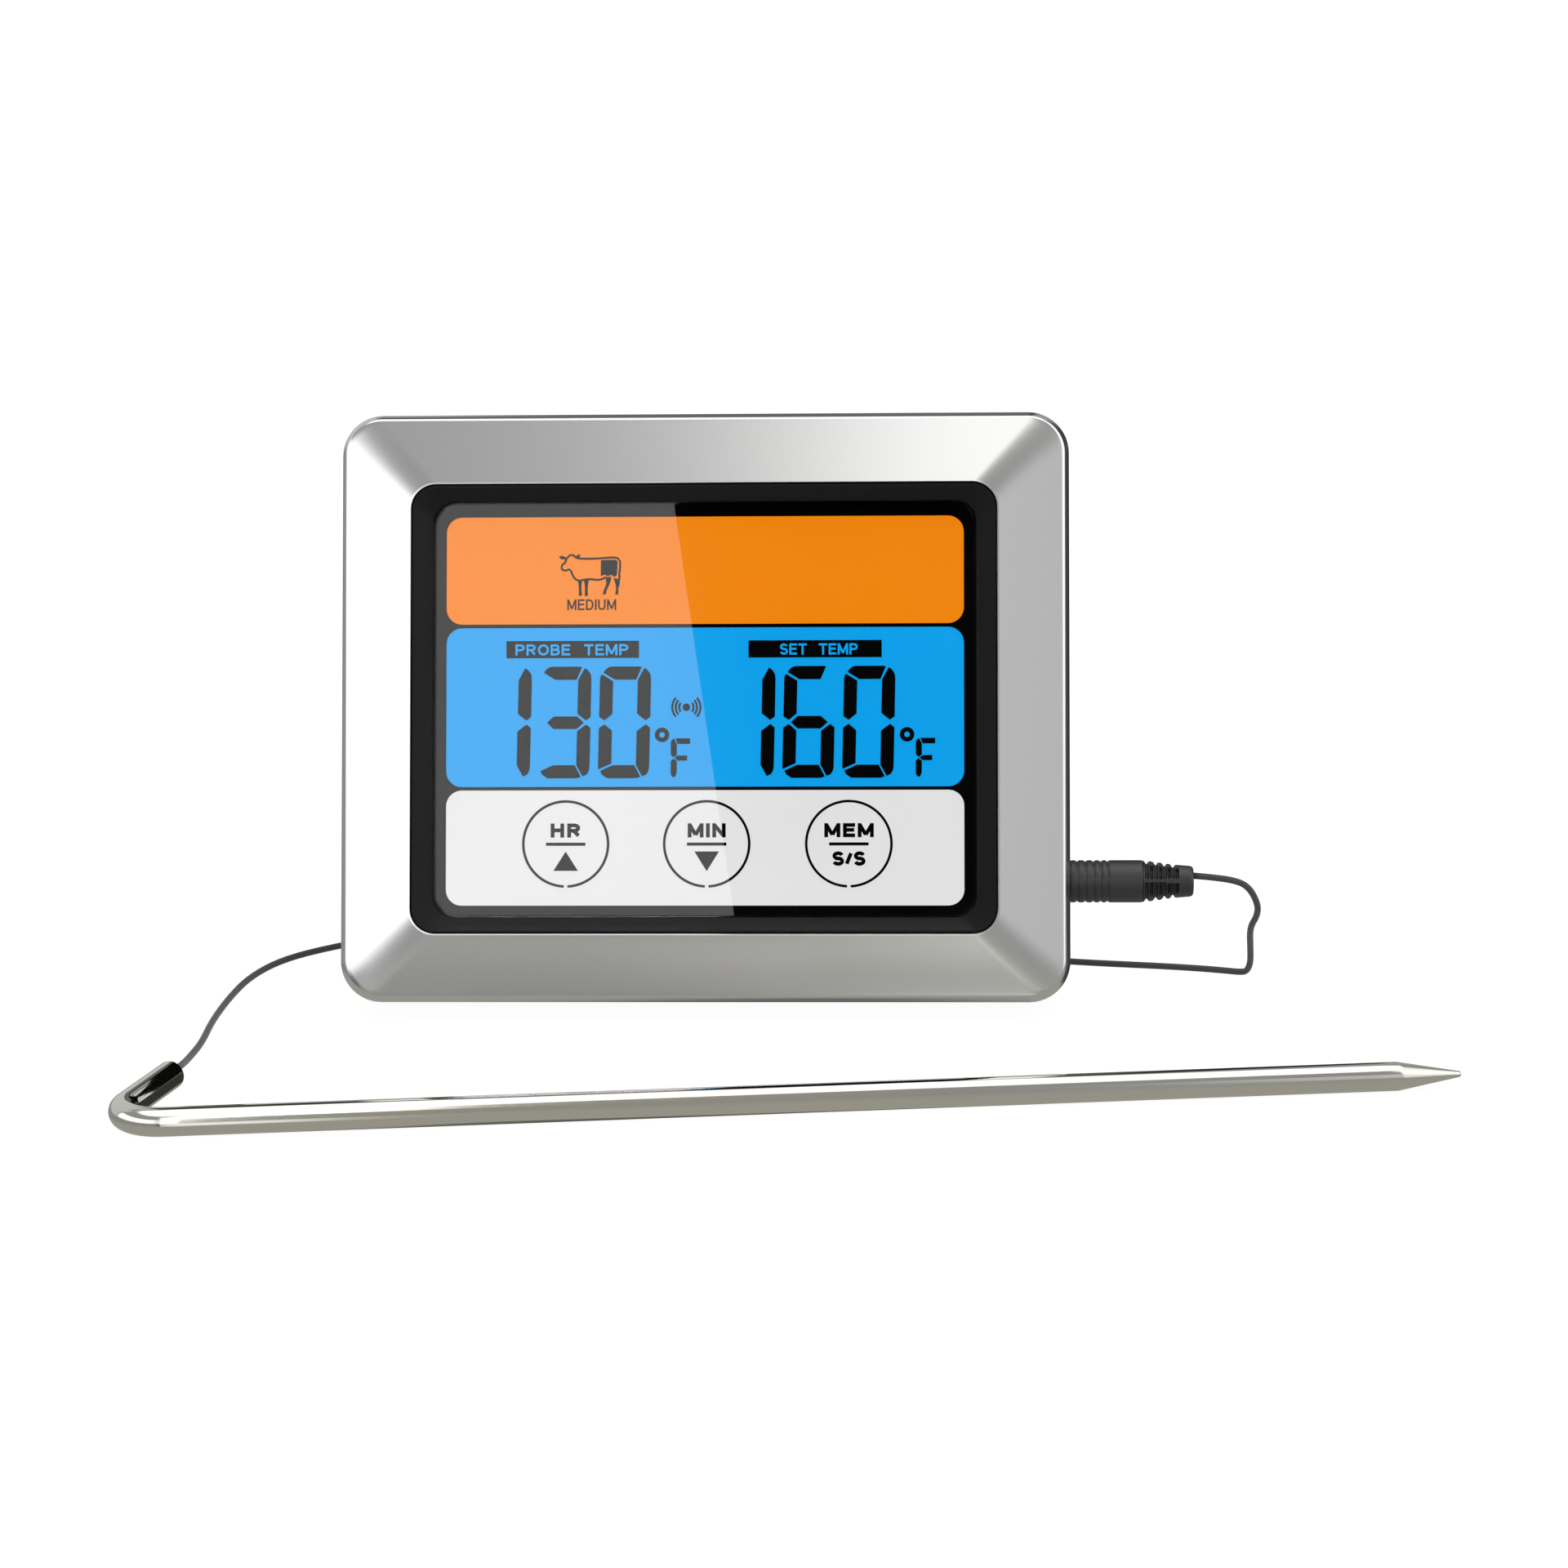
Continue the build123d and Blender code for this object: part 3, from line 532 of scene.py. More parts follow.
SPECIAL_FINISHES = {    # the same six and more
    "silver_paint": ((0.76, 0.76, 0.76), 0.2, 1, 0.06, 0.03, 0.0001,
                     {"rough_spread": 0.015, "broad_share": 0.05}),
    "black_gloss": ((0.0105, 0.0105, 0.0105), 0.24, 0, 0.5, 0.06, 0.0003,
                    {"rough_spread": 0.02, "Specular_IOR_Level": 0.05}),
    "black_print": ((0.0025, 0.0025, 0.0025), 0.5, 0, 0.2, 0.12, 0.0005, {"Specular_IOR_Level": 0.0}),
    "plug_moulding": ((0.0105, 0.0105, 0.011), 0.42, 0, 0.18, 0.15, 0.006, {"Specular_IOR_Level": 0.7}),
    "polished_steel": ((0.76, 0.752, 0.69), 0.09, 1, 0.16, 0.02, 0.0006,
                       {"stretch": (0.04, 1, 1), "rough_spread": 0.02}),
}
PAINTED_GLOW_FILMS = {           # colour, emission as painted glow, share of the colour in the base
    "orange_display": ((0.887, 0.235, 0.0), 0.98, 0.08),
    "blue_display": ((0.0, 0.352, 0.831), 0.98, 0.08),
    "white_panel": ((0.79, 0.79, 0.79), 0.93, 0.12),
}
FINISHES = {"clear_window": window_glass(), "braided_cord": braid()}
FINISHES.update({name: finish(name, *values) for name, values in PLAIN_FINISHES.items()})
FINISHES.update({name: finish(name, *values, **more) for name, (*values, more) in SPECIAL_FINISHES.items()})
FINISHES.update({name: painted_glow_film(name, *values) for name, values in PAINTED_GLOW_FILMS.items()})


def finish_cad_nodes():
    """Every carried-over CAD node takes the finish of its material slot."""
    for subpart in frame["record"]["subparts"]:
        shown = frame["nodes"][subpart["node"]]
        for k in range(len(shown.data.materials)):
            shown.data.materials[k] = FINISHES[subpart["material_slot"]]
        if not shown.data.materials:
            shown.data.materials.append(FINISHES[subpart["material_slot"]])


# ---- front of the case
def make_front_shell():
    """Silver frame: thin crest round the black ring, sloping facets, small roll, steep rim, side wall."""
    mouth_corner, near = 3.3, 0.35
    mouth_back_y, shell_t, inner_corner = 4.2, 1.5, 1.4
    rings = [(RING_W, RING_H, mouth_corner, mouth_back_y, DISPLAY_Z)]
    for k in range(5):
        angle = math.radians(90 * k / 4)
        grow = 2 * CREST_R * (1 - math.cos(angle))
        rings.append((RING_W + grow, RING_H + grow, mouth_corner + grow / 2,
                      CREST_Y + CREST_R * (1 - math.sin(angle)), DISPLAY_Z))
    slope = (RIM_Y - CREST_Y) / (CASE_W / 2 - RIM_INSET - RING_W / 2)
    rings.append((RING_W + 2 * near, RING_H + 2 * near, mouth_corner + near,
                  CREST_Y + slope * near, DISPLAY_Z))

    def outer(inset, corner_inset, y):
        return CASE_W - 2 * inset, CASE_H - 2 * inset, CASE_CORNER - corner_inset, y

    rings.append(outer(RIM_INSET + near, RIM_INSET, RIM_Y - slope * near))
    facet_turn, bevel_turn = math.atan(slope), math.atan2(BEVEL_DEPTH, BEVEL_INSET)
    roll_r = (RIM_INSET - BEVEL_INSET) / (math.sin(bevel_turn) - math.sin(facet_turn))
    for k in range(9):
        turn = facet_turn + (bevel_turn - facet_turn) * k / 8
        inset = RIM_INSET - roll_r * (math.sin(turn) - math.sin(facet_turn))
        rings.append(outer(inset, inset, RIM_Y + roll_r * (math.cos(facet_turn) - math.cos(turn))))
    bevel_y = rings[-1][3]
    rings.append(outer(0.03, 0.03, bevel_y + BEVEL_DEPTH * 0.95))
    rings.append(outer(0, 0, bevel_y + BEVEL_DEPTH * 1.1))
    rings.append(outer(0, 0, SPLIT_Y - 0.25))
    rings.append(outer(0.25, 0.25, SPLIT_Y))
    rings.append(outer(shell_t, inner_corner, SPLIT_Y))
    rings.append(outer(shell_t, inner_corner, mouth_back_y))
    part = skin([case_ring(*ring) for ring in rings], closed=True)
    shell = make_piece("front_shell", part, "silver_paint", replaces=["front_frame"], sharp=50)
    jack_bore(shell)


def jack_bore(shell):
    """Cut the round hole that the plug goes in by, through the right side wall."""
    ends = [case(CASE_W / 2 - 3, JACK_Y, JACK_Z), case(CASE_W / 2 + 1, JACK_Y, JACK_Z)]
    cutter = make_piece("cutter", tube(ends, JACK_BORE_R * MM, 40), "silver_paint", body=None)
    cut = shell.modifiers.new("jack_bore", "BOOLEAN")
    cut.operation = "DIFFERENCE"
    cut.solver = "EXACT"
    cut.object = cutter
    bpy.context.view_layer.objects.active = shell
    bpy.ops.object.modifier_apply(modifier="jack_bore")
    bpy.data.objects.remove(cutter)
    tidy = bmesh.new()
    tidy.from_mesh(shell.data)
    sharpen(tidy, 50)
    tidy.to_mesh(shell.data)
    tidy.free()


def make_black_ring():
    """Gloss ring that slopes from the crest down to the window, and a flange behind it, out of sight."""
    ring, glass, opening, flange = (RING_W, RING_H), (GLASS_W, GLASS_H), (69.4, 52.4), (80.0, 62.0)
    foot_y = GLASS_Y - 0.25
    flange_y, back_y = 4.3, 5.6
    sections = [      # size, growth, corner, depth
        (ring, -0.24, 3.2, flange_y), (ring, -0.24, 3.2, 0.85), (ring, -0.4, 3.1, 0.68),
        (ring, -0.9, 3.0, 0.72), (glass, 0.75, 2.9, foot_y - 0.06), (glass, 0.45, 2.8, foot_y),
        (glass, 0.2, 2.75, foot_y + 0.22), (glass, 0.2, 2.75, 4.1), (opening, 0, 1.6, 4.12),
        (opening, 0, 1.6, back_y), (flange, 0, 4.0, back_y), (flange, 0, 4.0, flange_y),
    ]
    rings = [case_ring(width + grow, height + grow, corner, y, DISPLAY_Z)
             for (width, height), grow, corner, y in sections]
    make_piece("black_ring", skin(rings, closed=True), "black_gloss", replaces=["inner_ring"], sharp=40)


def make_window():
    bevel = 0.2
    rings = [(GLASS_W - 2 * bevel, GLASS_H - 2 * bevel, 3.0, GLASS_Y),
             (GLASS_W - 0.1, GLASS_H - 0.1, 3.15, GLASS_Y + 0.08),
             (GLASS_W, GLASS_H, 3.2, GLASS_Y + bevel), (GLASS_W, GLASS_H, 3.2, GLASS_BACK_Y)]
    part = skin([case_ring(*ring, DISPLAY_Z) for ring in rings])
    make_piece("window_pane", part, "clear_window", replaces=["display_window"], sharp=20)


def field_outline(z_range, grow=0.0):
    low, high = z_range
    return rounded_outline(PANEL_W + grow, high - low + grow, PANEL_CORNER + grow / 2, 0, (low + high) / 2)


def make_print():
    outlines = [rounded_outline(GLASS_W - 0.2, GLASS_H - 0.2, 3.1, 0.0, DISPLAY_Z)]
    outlines += [field_outline(z_range) for z_range in (ORANGE_Z, BLUE_Z, KEYS_Z)]
    make_piece("window_print", filled(outlines, PRINT_Y), "black_print", replaces=["window_mask"],
               smooth=False)
    # the three fields take the films' painted glow
    for name, node, z_range, slot in (("orange_field", "orange_film", ORANGE_Z, "orange_display"),
                                      ("blue_field", "blue_film", BLUE_Z, "blue_display"),
                                      ("key_field", "key_panel_film", KEYS_Z, "white_panel")):
        part = filled([field_outline(z_range, 0.3)], FILM_Y)
        make_piece(name, part, slot, replaces=[node], smooth=False)


# ---- display marks
SEGMENTS = {"0": "abcdef", "1": "bc", "3": "abcdg", "6": "acdefg"}
SEGMENT_SHAPES = {      # x from the left edge of a figure, z down from its top
    "a": [(0.42, -0.79), (0.78, -0.32), (1.2, -0.06), (1.55, 0), (5.2, 0), (5.49, -0.08), (4.79, -1.75),
          (1.98, -1.75)],
    "b": [(5.84, -0.19), (6.22, -0.42), (6.52, -0.79), (6.7, -1.2), (6.75, -1.65), (6.77, -6.65),
          (6.14, -7.12), (5.0, -6.22), (5.0, -1.78)],
    "c": [(6.18, -7.63), (6.77, -8.1), (6.77, -13.2), (6.7, -13.75), (6.42, -14.25), (5.85, -14.5),
          (5.0, -13.0), (5.0, -8.54)],
    "d": [(0.28, -13.78), (0.55, -14.3), (1.25, -14.75), (5.1, -14.75), (5.64, -14.56), (4.8, -13.02),
          (1.93, -13.02)],
    "e": [(0.74, -7.63), (1.75, -8.48), (1.75, -12.82), (0.05, -13.58), (0, -13.3), (0, -8.12)],
    "f": [(0.24, -1.03), (1.75, -1.95), (1.75, -6.28), (0.73, -7.12), (0, -6.65), (0, -1.6), (0.08, -1.25)],
    "g": [(1.0, -7.4), (1.87, -6.58), (4.95, -6.58), (5.87, -7.4), (4.95, -8.24), (1.87, -8.24)],
}
UNIT_SHAPES = [         # segment F, from its upper left corner
    [(0, -0.5), (0.2, -0.14), (0.42, -0.03), (0.8, -0.7), (0.8, -2.2), (0.38, -2.54), (0, -2.15)],
    [(0.35, -2.66), (0.8, -3.0), (0.8, -4.5), (0.58, -5.1), (0.22, -5.08), (0, -4.75), (0, -3.0)],
    [(0.6, 0), (2.56, 0), (2.56, -0.74), (0.9, -0.74)],
    [(0.5, -2.6), (0.88, -2.27), (2.17, -2.27), (2.17, -2.94), (0.88, -2.94)],
]
COW_LINES = [
    [(-18.95, 18.6), (-18.75, 18.95), (-18.45, 19.15), (-18.25, 19.7), (-17.85, 20.15), (-17.35, 20.15),
     (-17.0, 19.8), (-16.5, 19.7), (-15.0, 19.66), (-13.4, 19.74), (-12.2, 19.84), (-11.55, 19.76),
     (-11.2, 19.4), (-11.15, 18.7), (-11.28, 17.6), (-11.25, 16.9)],
    [(-18.95, 18.6), (-18.82, 18.22), (-18.4, 18.1), (-17.95, 18.28), (-17.65, 18.05), (-17.45, 17.5),
     (-17.1, 16.98), (-16.6, 16.75), (-15.9, 16.9), (-15.1, 16.98), (-14.2, 16.85), (-13.5, 16.98),
     (-13.0, 17.25)],
]
COW_SHAPES = [
    [(-19.3, 19.95), (-18.85, 20.1), (-18.3, 19.85), (-18.45, 19.6), (-18.95, 19.6)],
    [(-17.05, 19.95), (-16.75, 20.25), (-16.4, 20.2), (-16.55, 19.85), (-16.9, 19.7)],
    [(-13.72, 19.48), (-11.75, 19.55), (-11.48, 19.25), (-11.58, 17.5), (-11.9, 17.22), (-12.35, 17.55),
     (-12.8, 17.32), (-13.25, 17.58), (-13.72, 17.3)],
    [(-16.75, 16.85), (-16.2, 16.85), (-16.3, 15.9), (-16.2, 14.82), (-16.62, 14.72), (-16.62, 15.9)],
    [(-15.95, 16.9), (-15.3, 16.95), (-15.45, 15.9), (-15.42, 14.78), (-15.85, 14.7), (-15.82, 15.9)],
    [(-13.1, 17.2), (-12.3, 17.3), (-12.5, 16.4), (-12.9, 15.6), (-13.05, 14.98), (-13.5, 14.9),
     (-13.25, 15.7), (-12.98, 16.4)],
    [(-12.05, 17.1), (-11.18, 16.95), (-11.22, 16.2), (-11.42, 15.7), (-11.38, 14.98), (-11.82, 14.88),
     (-11.7, 15.7), (-11.78, 16.3)],
]


def number_outlines(figures, left):
    """Seven-segment figures with pointed segment ends and rounded outer corners, leaning to the right."""
    top = DIGITS_Z[1]
    middle = (DIGITS_Z[0] - top) / 2
    outlines = []
    for k, figure in enumerate(figures):
        start = left + DIGIT_PITCH * k
        for segment in SEGMENTS[figure]:
            shape = SEGMENT_SHAPES[segment]
            outlines.append([(start + x + (z - middle) * DIGIT_LEAN, top + z) for x, z in shape])
    return outlines


def make_unit(left):
    """Degree ring and a segment F, from the left edge of the F."""
    ring_x, ring_z, top = left - 1.14, -3.64, -4.1
    ring = [circle_outline(radius, ring_x, ring_z) for radius in (0.96, 0.36)]
    letter = [[(left + x, top + z) for x, z in shape] for shape in UNIT_SHAPES]
    return merged([filled(ring, MARK_Y), separate(letter)])


def alarm_outlines(x, z):
    """A dot with three sound arcs on each side."""
    arcs = [arc_band(radius, 0.28, x, z, middle - half, 2 * half, 14)
            for radius, half in ((0.94, 38), (1.4, 42), (1.86, 42)) for middle in (0, 180)]
    return [circle_outline(0.5, x, z, steps=24)] + arcs


def make_cow():
    """A plain cow pictogram facing left, with a dark field on the hind quarter."""
    return merged([separate(COW_SHAPES)] + [stroke(line, 0.27, MARK_Y) for line in COW_LINES])


def key_outlines():
    """Circle of each touch key with a small gap below and a line across, and the two arrow heads."""
    outlines = []
    for x in KEY_X:
        outlines.append(arc_band(KEY_R, 0.34, x, KEY_Z, -87.6, 355.2, 90))
        outlines.append([(x - 2.6, KEY_Z + 0.17), (x + 2.6, KEY_Z + 0.17), (x + 2.6, KEY_Z - 0.24),
                         (x - 2.6, KEY_Z - 0.24)])
    up, down, half = KEY_X[0], KEY_X[1], 1.62
    outlines.append([(up - half, KEY_Z - 3.54), (up + half, KEY_Z - 3.54), (up, KEY_Z - 1.0)])
    outlines.append([(down - half, KEY_Z - 1.0), (down + half, KEY_Z - 1.0), (down, KEY_Z - 3.6)])
    return outlines


def separate(outlines):
    """Solids of outlines that don't cut holes in each other."""
    return merged([filled([outline], MARK_Y) for outline in outlines])


def make_marks():
    ink = finish("lcd_ink", (0.0025, 0.0025, 0.0025), 0.5, grain=0.2, bump=0.0005, Specular_IOR_Level=0.0)

    def mark(name, part, material=ink, slot="black_print"):
        make_piece(name, part, slot, smooth=False, finish=material)

    mark("digits_probe", separate(number_outlines("130", -29.69)))
    mark("digits_set", separate(number_outlines("160", 2.5)))
    mark("unit_probe", make_unit(-4.45))
    mark("unit_set", make_unit(27.8))
    mark("alarm_sign", separate(alarm_outlines(-2.39, 0.0)))
    mark("cow_sign", make_cow())
    mark("key_signs", separate(key_outlines()))
    low, high = LABEL_Z
    mark("label_bars", separate([[(left, low), (left + LABEL_W, low), (left + LABEL_W, high), (left, high)]
                                 for left in (-26.2, 5.8)]))
    front = (MARK_Y[0] - 0.03, MARK_Y[0] - 0.005)
    labels = [words("PROBE  TEMP", (-25.0, -10.05), (6.88, 8.36), front, 0.28),
              words("SET  TEMP", (9.93, 20.2), (6.9, 8.38), front, 0.28)]
    # the blue words take the blue film's painted glow
    mark("label_words", merged(labels), FINISHES["blue_display"], "blue_display")
    mark("doneness_word", words("MEDIUM", (-18.15, -11.68), (12.87, 14.3), MARK_Y, 0.22))
    over = (KEY_Z + 0.84, KEY_Z + 2.7)
    under = (KEY_Z - 2.9, KEY_Z - 1.0)
    keys = [words("HR", (KEY_X[0] - 1.98, KEY_X[0] + 1.98), over, MARK_Y, 0.5, 0.5),
            words("MIN", (KEY_X[1] - 2.5, KEY_X[1] + 2.5), over, MARK_Y, 0.5, 0.46),
            words("MEM", (KEY_X[2] - 3.22, KEY_X[2] + 3.28), over, MARK_Y, 0.5, 0.46),
            words("S/S", (KEY_X[2] - 2.2, KEY_X[2] + 2.2), under, MARK_Y, 0.5, 0.34)]
    mark("key_words", merged(keys))


# ---- plug
def plug_ring(x, radius_at, sides=72):
    ring = []
    for k in range(sides):
        angle = 2 * math.pi * k / sides
        r = radius_at(angle)
        ring.append(case(x, JACK_Y + r * math.cos(angle), JACK_Z + r * math.sin(angle)))
    return ring


def make_plug_body():
    """Round grip with five shallow grooves near the case."""
    steps, core_r = 120, 1.25
    groove_depth, groove_reach = 0.17, 0.17
    rings = [plug_ring(PLUG_START_X, lambda angle: core_r)]
    for k in range(steps + 1):
        x = PLUG_START_X + (GRIP_END_X - PLUG_START_X) * k / steps
        r = PLUG_R
        for middle in GRIP_GROOVES:
            r -= groove_depth * math.exp(-((x - middle) / groove_reach) ** 2)
        r -= 0.18 * math.exp(-(x - PLUG_START_X) / 0.08) + 0.2 * math.exp(-(GRIP_END_X - x) / 0.09)
        rings.append(plug_ring(x, lambda angle, r=r: r))
    rings.append(plug_ring(GRIP_END_X, lambda angle: core_r))
    part = skin(rings, closed=True)
    make_piece("plug_body", part, "plug_moulding", "plug", ["plug_grip"], sharp=60)


def make_relief():
    """Tapering strain relief. Grooves run round it but for a bridge in front and one behind. Between them are
    deep slots in its sides, which leave the top and bottom whole. It ends in a rounded collar."""
    front_half = 0.31                # half width of the front and rear bridges
    top_half = math.radians(41)      # half angle of the upper and lower bridges
    start_r, taper, collar_taper = 2.78, 0.14, 0.08
    groove_depth, slot_depth = 0.42, 0.6
    round_length, round_depth = 0.5, 0.4
    rings = []
    steps = 220
    for k in range(steps + 1):
        x = GRIP_END_X + (RELIEF_END_X - GRIP_END_X) * k / steps
        end = max(0.0, (x - RELIEF_END_X + round_length) / round_length)
        body_r = start_r - taper * (min(x, COLLAR_X) - GRIP_END_X) - collar_taper * max(0.0, x - COLLAR_X)
        body_r -= round_depth * (1 - math.sqrt(1 - end ** 2))
        groove = max(groove_depth * math.exp(-((x - middle) / 0.23) ** 2) for middle in RELIEF_GROOVES)
        slot = max(slot_depth * math.exp(-((x - middle) / 0.17) ** 4) for middle in RELIEF_SLOTS)

        def radius_at(angle, body_r=body_r, groove=groove, slot=slot):
            if abs(body_r * math.sin(angle)) < front_half:
                return body_r
            on_top = abs(math.sin(angle)) > math.cos(top_half)
            return body_r - max(groove, 0.0 if on_top else slot)

        rings.append(plug_ring(x, radius_at, 96))
    make_piece("relief_body", skin(rings), "plug_moulding", "plug", ["strain_relief"], sharp=50)


# ---- cord
def winding(turns):
    """Desk point of the coil after a number of turns, wound in layers."""
    last = COIL_RADIAL_TURNS * COIL_LEVELS - 1

    def layer_of(turn):
        level, step = divmod(min(turn, last), COIL_RADIAL_TURNS)
        return level, step if level % 2 == 0 else COIL_RADIAL_TURNS - 1 - step

    whole = int(turns)
    share = max(0.0, (turns - whole - 0.75) / 0.25)
    ease = share * share * (3 - 2 * share)
    (level, index), (next_level, next_index) = layer_of(whole), layer_of(whole + 1)
    radius = COIL_OUTER_R - CORD_D * (index + (next_index - index) * ease)
    height = COIL_LIFT + CORD_D * (0.5 + level + (next_level - level) * ease)
    radius /= 0.75 + 0.25 * math.cos(2 * math.pi / POINTS_PER_TURN)     # the spline runs inside its points
    angle = 2 * math.pi * turns
    return (COIL_CENTRE[0] + radius * math.cos(angle), COIL_CENTRE[1] + radius * math.sin(angle), height)


def spline_line(points, resolution):
    """Points along a smooth NURBS line drawn to the control points (desk mm)."""
    curve = bpy.data.curves.new("route", "CURVE")
    curve.dimensions = "3D"
    curve.resolution_u = resolution
    spline = curve.splines.new("NURBS")
    spline.points.add(len(points) - 1)
    for point, place in zip(spline.points, points):
        point.co = (*desk(*place), 1)
    spline.order_u = 3
    spline.use_endpoint_u = True
    return mesh_of(curve)[0]


def make_cord():
    coil = [winding(k / POINTS_PER_TURN) for k in range(int(COIL_TURNS * POINTS_PER_TURN) + 1)]
    lift = BRAID_R - CORD_D / 2
    route = [(x, y, z + lift) for x, y, z in LEAD_POINTS + RUN_POINTS + coil + TAIL_POINTS]
    line = spline_line(route, 5)
    sides = 16
    verts, faces = tube(line, BRAID_R * MM, sides)
    mesh = bpy.data.meshes.new("probe_cord")
    mesh.from_pydata([tuple(v) for v in verts], [], faces)
    mesh.shade_smooth()
    around = mesh.attributes.new("around", "FLOAT", "POINT")
    along = mesh.attributes.new("along", "FLOAT", "POINT")
    travelled = 0.0
    for k, point in enumerate(line):
        if k:
            travelled += (point - line[k - 1]).length / MM / CORD_D
        for side in range(sides):
            around.data[k * sides + side].value = side / sides
            along.data[k * sides + side].value = travelled
    mesh.materials.append(FINISHES["braided_cord"])
    cord = add_object("probe_cord", mesh)
    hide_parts("cord_lead", "cord_run", "cord_coil", "cord_tail")
    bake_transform(cord)


def make_tie():
    """Flat tie round one side of the coil."""
    inner = COIL_OUTER_R - CORD_D * (COIL_RADIAL_TURNS - 0.5)
    outer = COIL_OUTER_R + CORD_D / 2
    height = CORD_D * COIL_LEVELS
    middle_r, middle_z = (inner + outer) / 2, COIL_LIFT + height / 2
    angle = math.radians(215)
    radial = Vector((math.cos(angle), math.sin(angle), 0))
    along = Vector((-math.sin(angle), math.cos(angle), 0))
    centre = Vector((*COIL_CENTRE, middle_z)) + radial * middle_r
    half_w = (outer - inner) / 2

    def loop(grow, offset):
        outline = rounded_outline(2 * (half_w + grow), height + 2 * grow, 0.35 + grow, steps=6)
        return [desk(*(centre + radial * u + Vector((0, 0, v)) + along * offset)) for u, v in outline]

    section = ((0.08, -0.9), (0.34, -0.9), (0.4, -0.8), (0.4, 0.8), (0.34, 0.9), (0.08, 0.9))
    part = skin([loop(grow, offset) for grow, offset in section], closed=True)
    make_piece("coil_tie", part, "tie_plastic", replaces=["cord_tie"], sharp=50)


# ---- probe
def probe_line():
    """Middle line of the tube from its open end round the bend to the shoulder, and its last direction."""
    end, corner, tip = (Vector((*p, PROBE_R)) for p in (PROBE_END, PROBE_CORNER, PROBE_TIP))
    arm_in = (end - corner).normalized()
    arm_out = (tip - corner).normalized()
    half = arm_in.angle(arm_out) / 2
    cut = PROBE_BEND_R / math.tan(half)
    centre = corner + (arm_in + arm_out).normalized() * (PROBE_BEND_R / math.sin(half))
    bend_start = corner + arm_in * cut
    bend_end = corner + arm_out * cut
    spoke = bend_start - centre
    swing = spoke.angle(bend_end - centre)
    turn = spoke.cross(bend_end - centre).normalized()
    line = [end + (bend_start - end) * k / 24 for k in range(24)]
    line += [centre + Matrix.Rotation(swing * k / 28, 3, turn) @ spoke for k in range(29)]
    shoulder = tip - arm_out * PROBE_TAPER
    line += [bend_end + (shoulder - bend_end) * k / 60 for k in range(1, 61)]
    return line, arm_out


def make_probe():
    """Bent steel tube, rolled from sheet: its lapped seam shows at the open end. The other end is a point."""
    sides = 56
    line, along_out = probe_line()
    shoulder = line[-1]
    up = Vector((0, 0, 1))
    seam_angle = math.radians(-28)
    cone_share = 0.965                      # of the taper; the rest is the rounded point

    def ring(point, along, radius, seam=0.0):
        across = up.cross(along).normalized()
        points = []
        for i in range(sides):
            angle = 2 * math.pi * i / sides
            turn = (angle - seam_angle + math.pi) % (2 * math.pi) - math.pi
            lap = math.exp(-(turn / 0.55) ** 2) * (1.0 if turn < 0 else math.exp(-(turn / 0.12) ** 2))
            r = radius * (1 + seam * 0.09 * lap)
            points.append(desk(*(point + across * (-math.cos(angle) * r) + up * (math.sin(angle) * r))))
        return points

    def heading(k):
        return (line[min(k + 1, len(line) - 1)] - line[max(k - 1, 0)]).normalized()

    rings = []
    travelled = 0.0
    for k, point in enumerate(line):
        travelled += (point - line[max(k - 1, 0)]).length
        rings.append(ring(point, heading(k), PROBE_R, max(0.0, 1 - travelled / PROBE_SEAM) ** 1.5))
    steps = 14
    for k in range(1, steps + 1):
        share = k / steps
        radius = PROBE_R + (PROBE_POINT_R - PROBE_R) * share
        rings.append(ring(shoulder + along_out * PROBE_TAPER * cone_share * share, along_out, radius))
    for share in (0.5, 0.8, 0.95):
        radius = PROBE_POINT_R * math.sqrt(1 - share ** 2)
        reach = PROBE_TAPER * (cone_share + (1 - cone_share) * share)
        rings.append(ring(shoulder + along_out * reach, along_out, radius))
    inner = [ring(line[k], heading(k), PROBE_BORE_R) for k in reversed(range(len(line) - 1))]
    verts, faces = merged([skin(rings, caps=(False, True)), skin(inner, caps=(True, False))])
    mouth = len(verts) - sides
    for i in range(sides):
        after = (i + 1) % sides
        faces.append((i, after, mouth + after, mouth + i))
    make_piece("probe_shell", (verts, faces), "polished_steel", replaces=["probe_tube"], sharp=40)


# ---- studio
def make_floor():
    material, nodes, shader = new_material("studio_floor")
    cloud = nodes.noise(nodes.place(), 8.0, 2.0)
    nodes.fill(shader, Base_Color=nodes.blend(cloud, (0.12, 0.12, 0.12, 1), (0.13, 0.13, 0.13, 1)),
               Roughness=0.9, Specular_IOR_Level=0.0, Emission_Color=(1, 1, 1, 1), Emission_Strength=0.94)
    reach = 6.0
    mesh = bpy.data.meshes.new("floor")
    corners = [(-reach, -reach, 0), (reach, -reach, 0), (reach, reach, 0), (-reach, reach, 0)]
    mesh.from_pydata(corners, [], [(0, 1, 2, 3)])
    mesh.materials.append(material)
    floor = add_object("floor", mesh)
    floor.visible_glossy = False


def stage_card(name, corners, color, emission=0.0):
    """Flat card of the studio, seen only in reflections and through the glass."""
    material, nodes, shader = new_material(name + "_cloth")
    nodes.fill(shader, Base_Color=(*color, 1), Roughness=1.0, Specular_IOR_Level=0.0,
               Emission_Color=(1, 1, 1, 1), Emission_Strength=emission)
    mesh = bpy.data.meshes.new(name)
    mesh.from_pydata([tuple(corner) for corner in corners], [], [tuple(range(len(corners)))])
    mesh.materials.append(material)
    card = add_object(name, mesh)
    card.visible_camera = False
    card.visible_diffuse = False
    card.visible_shadow = False


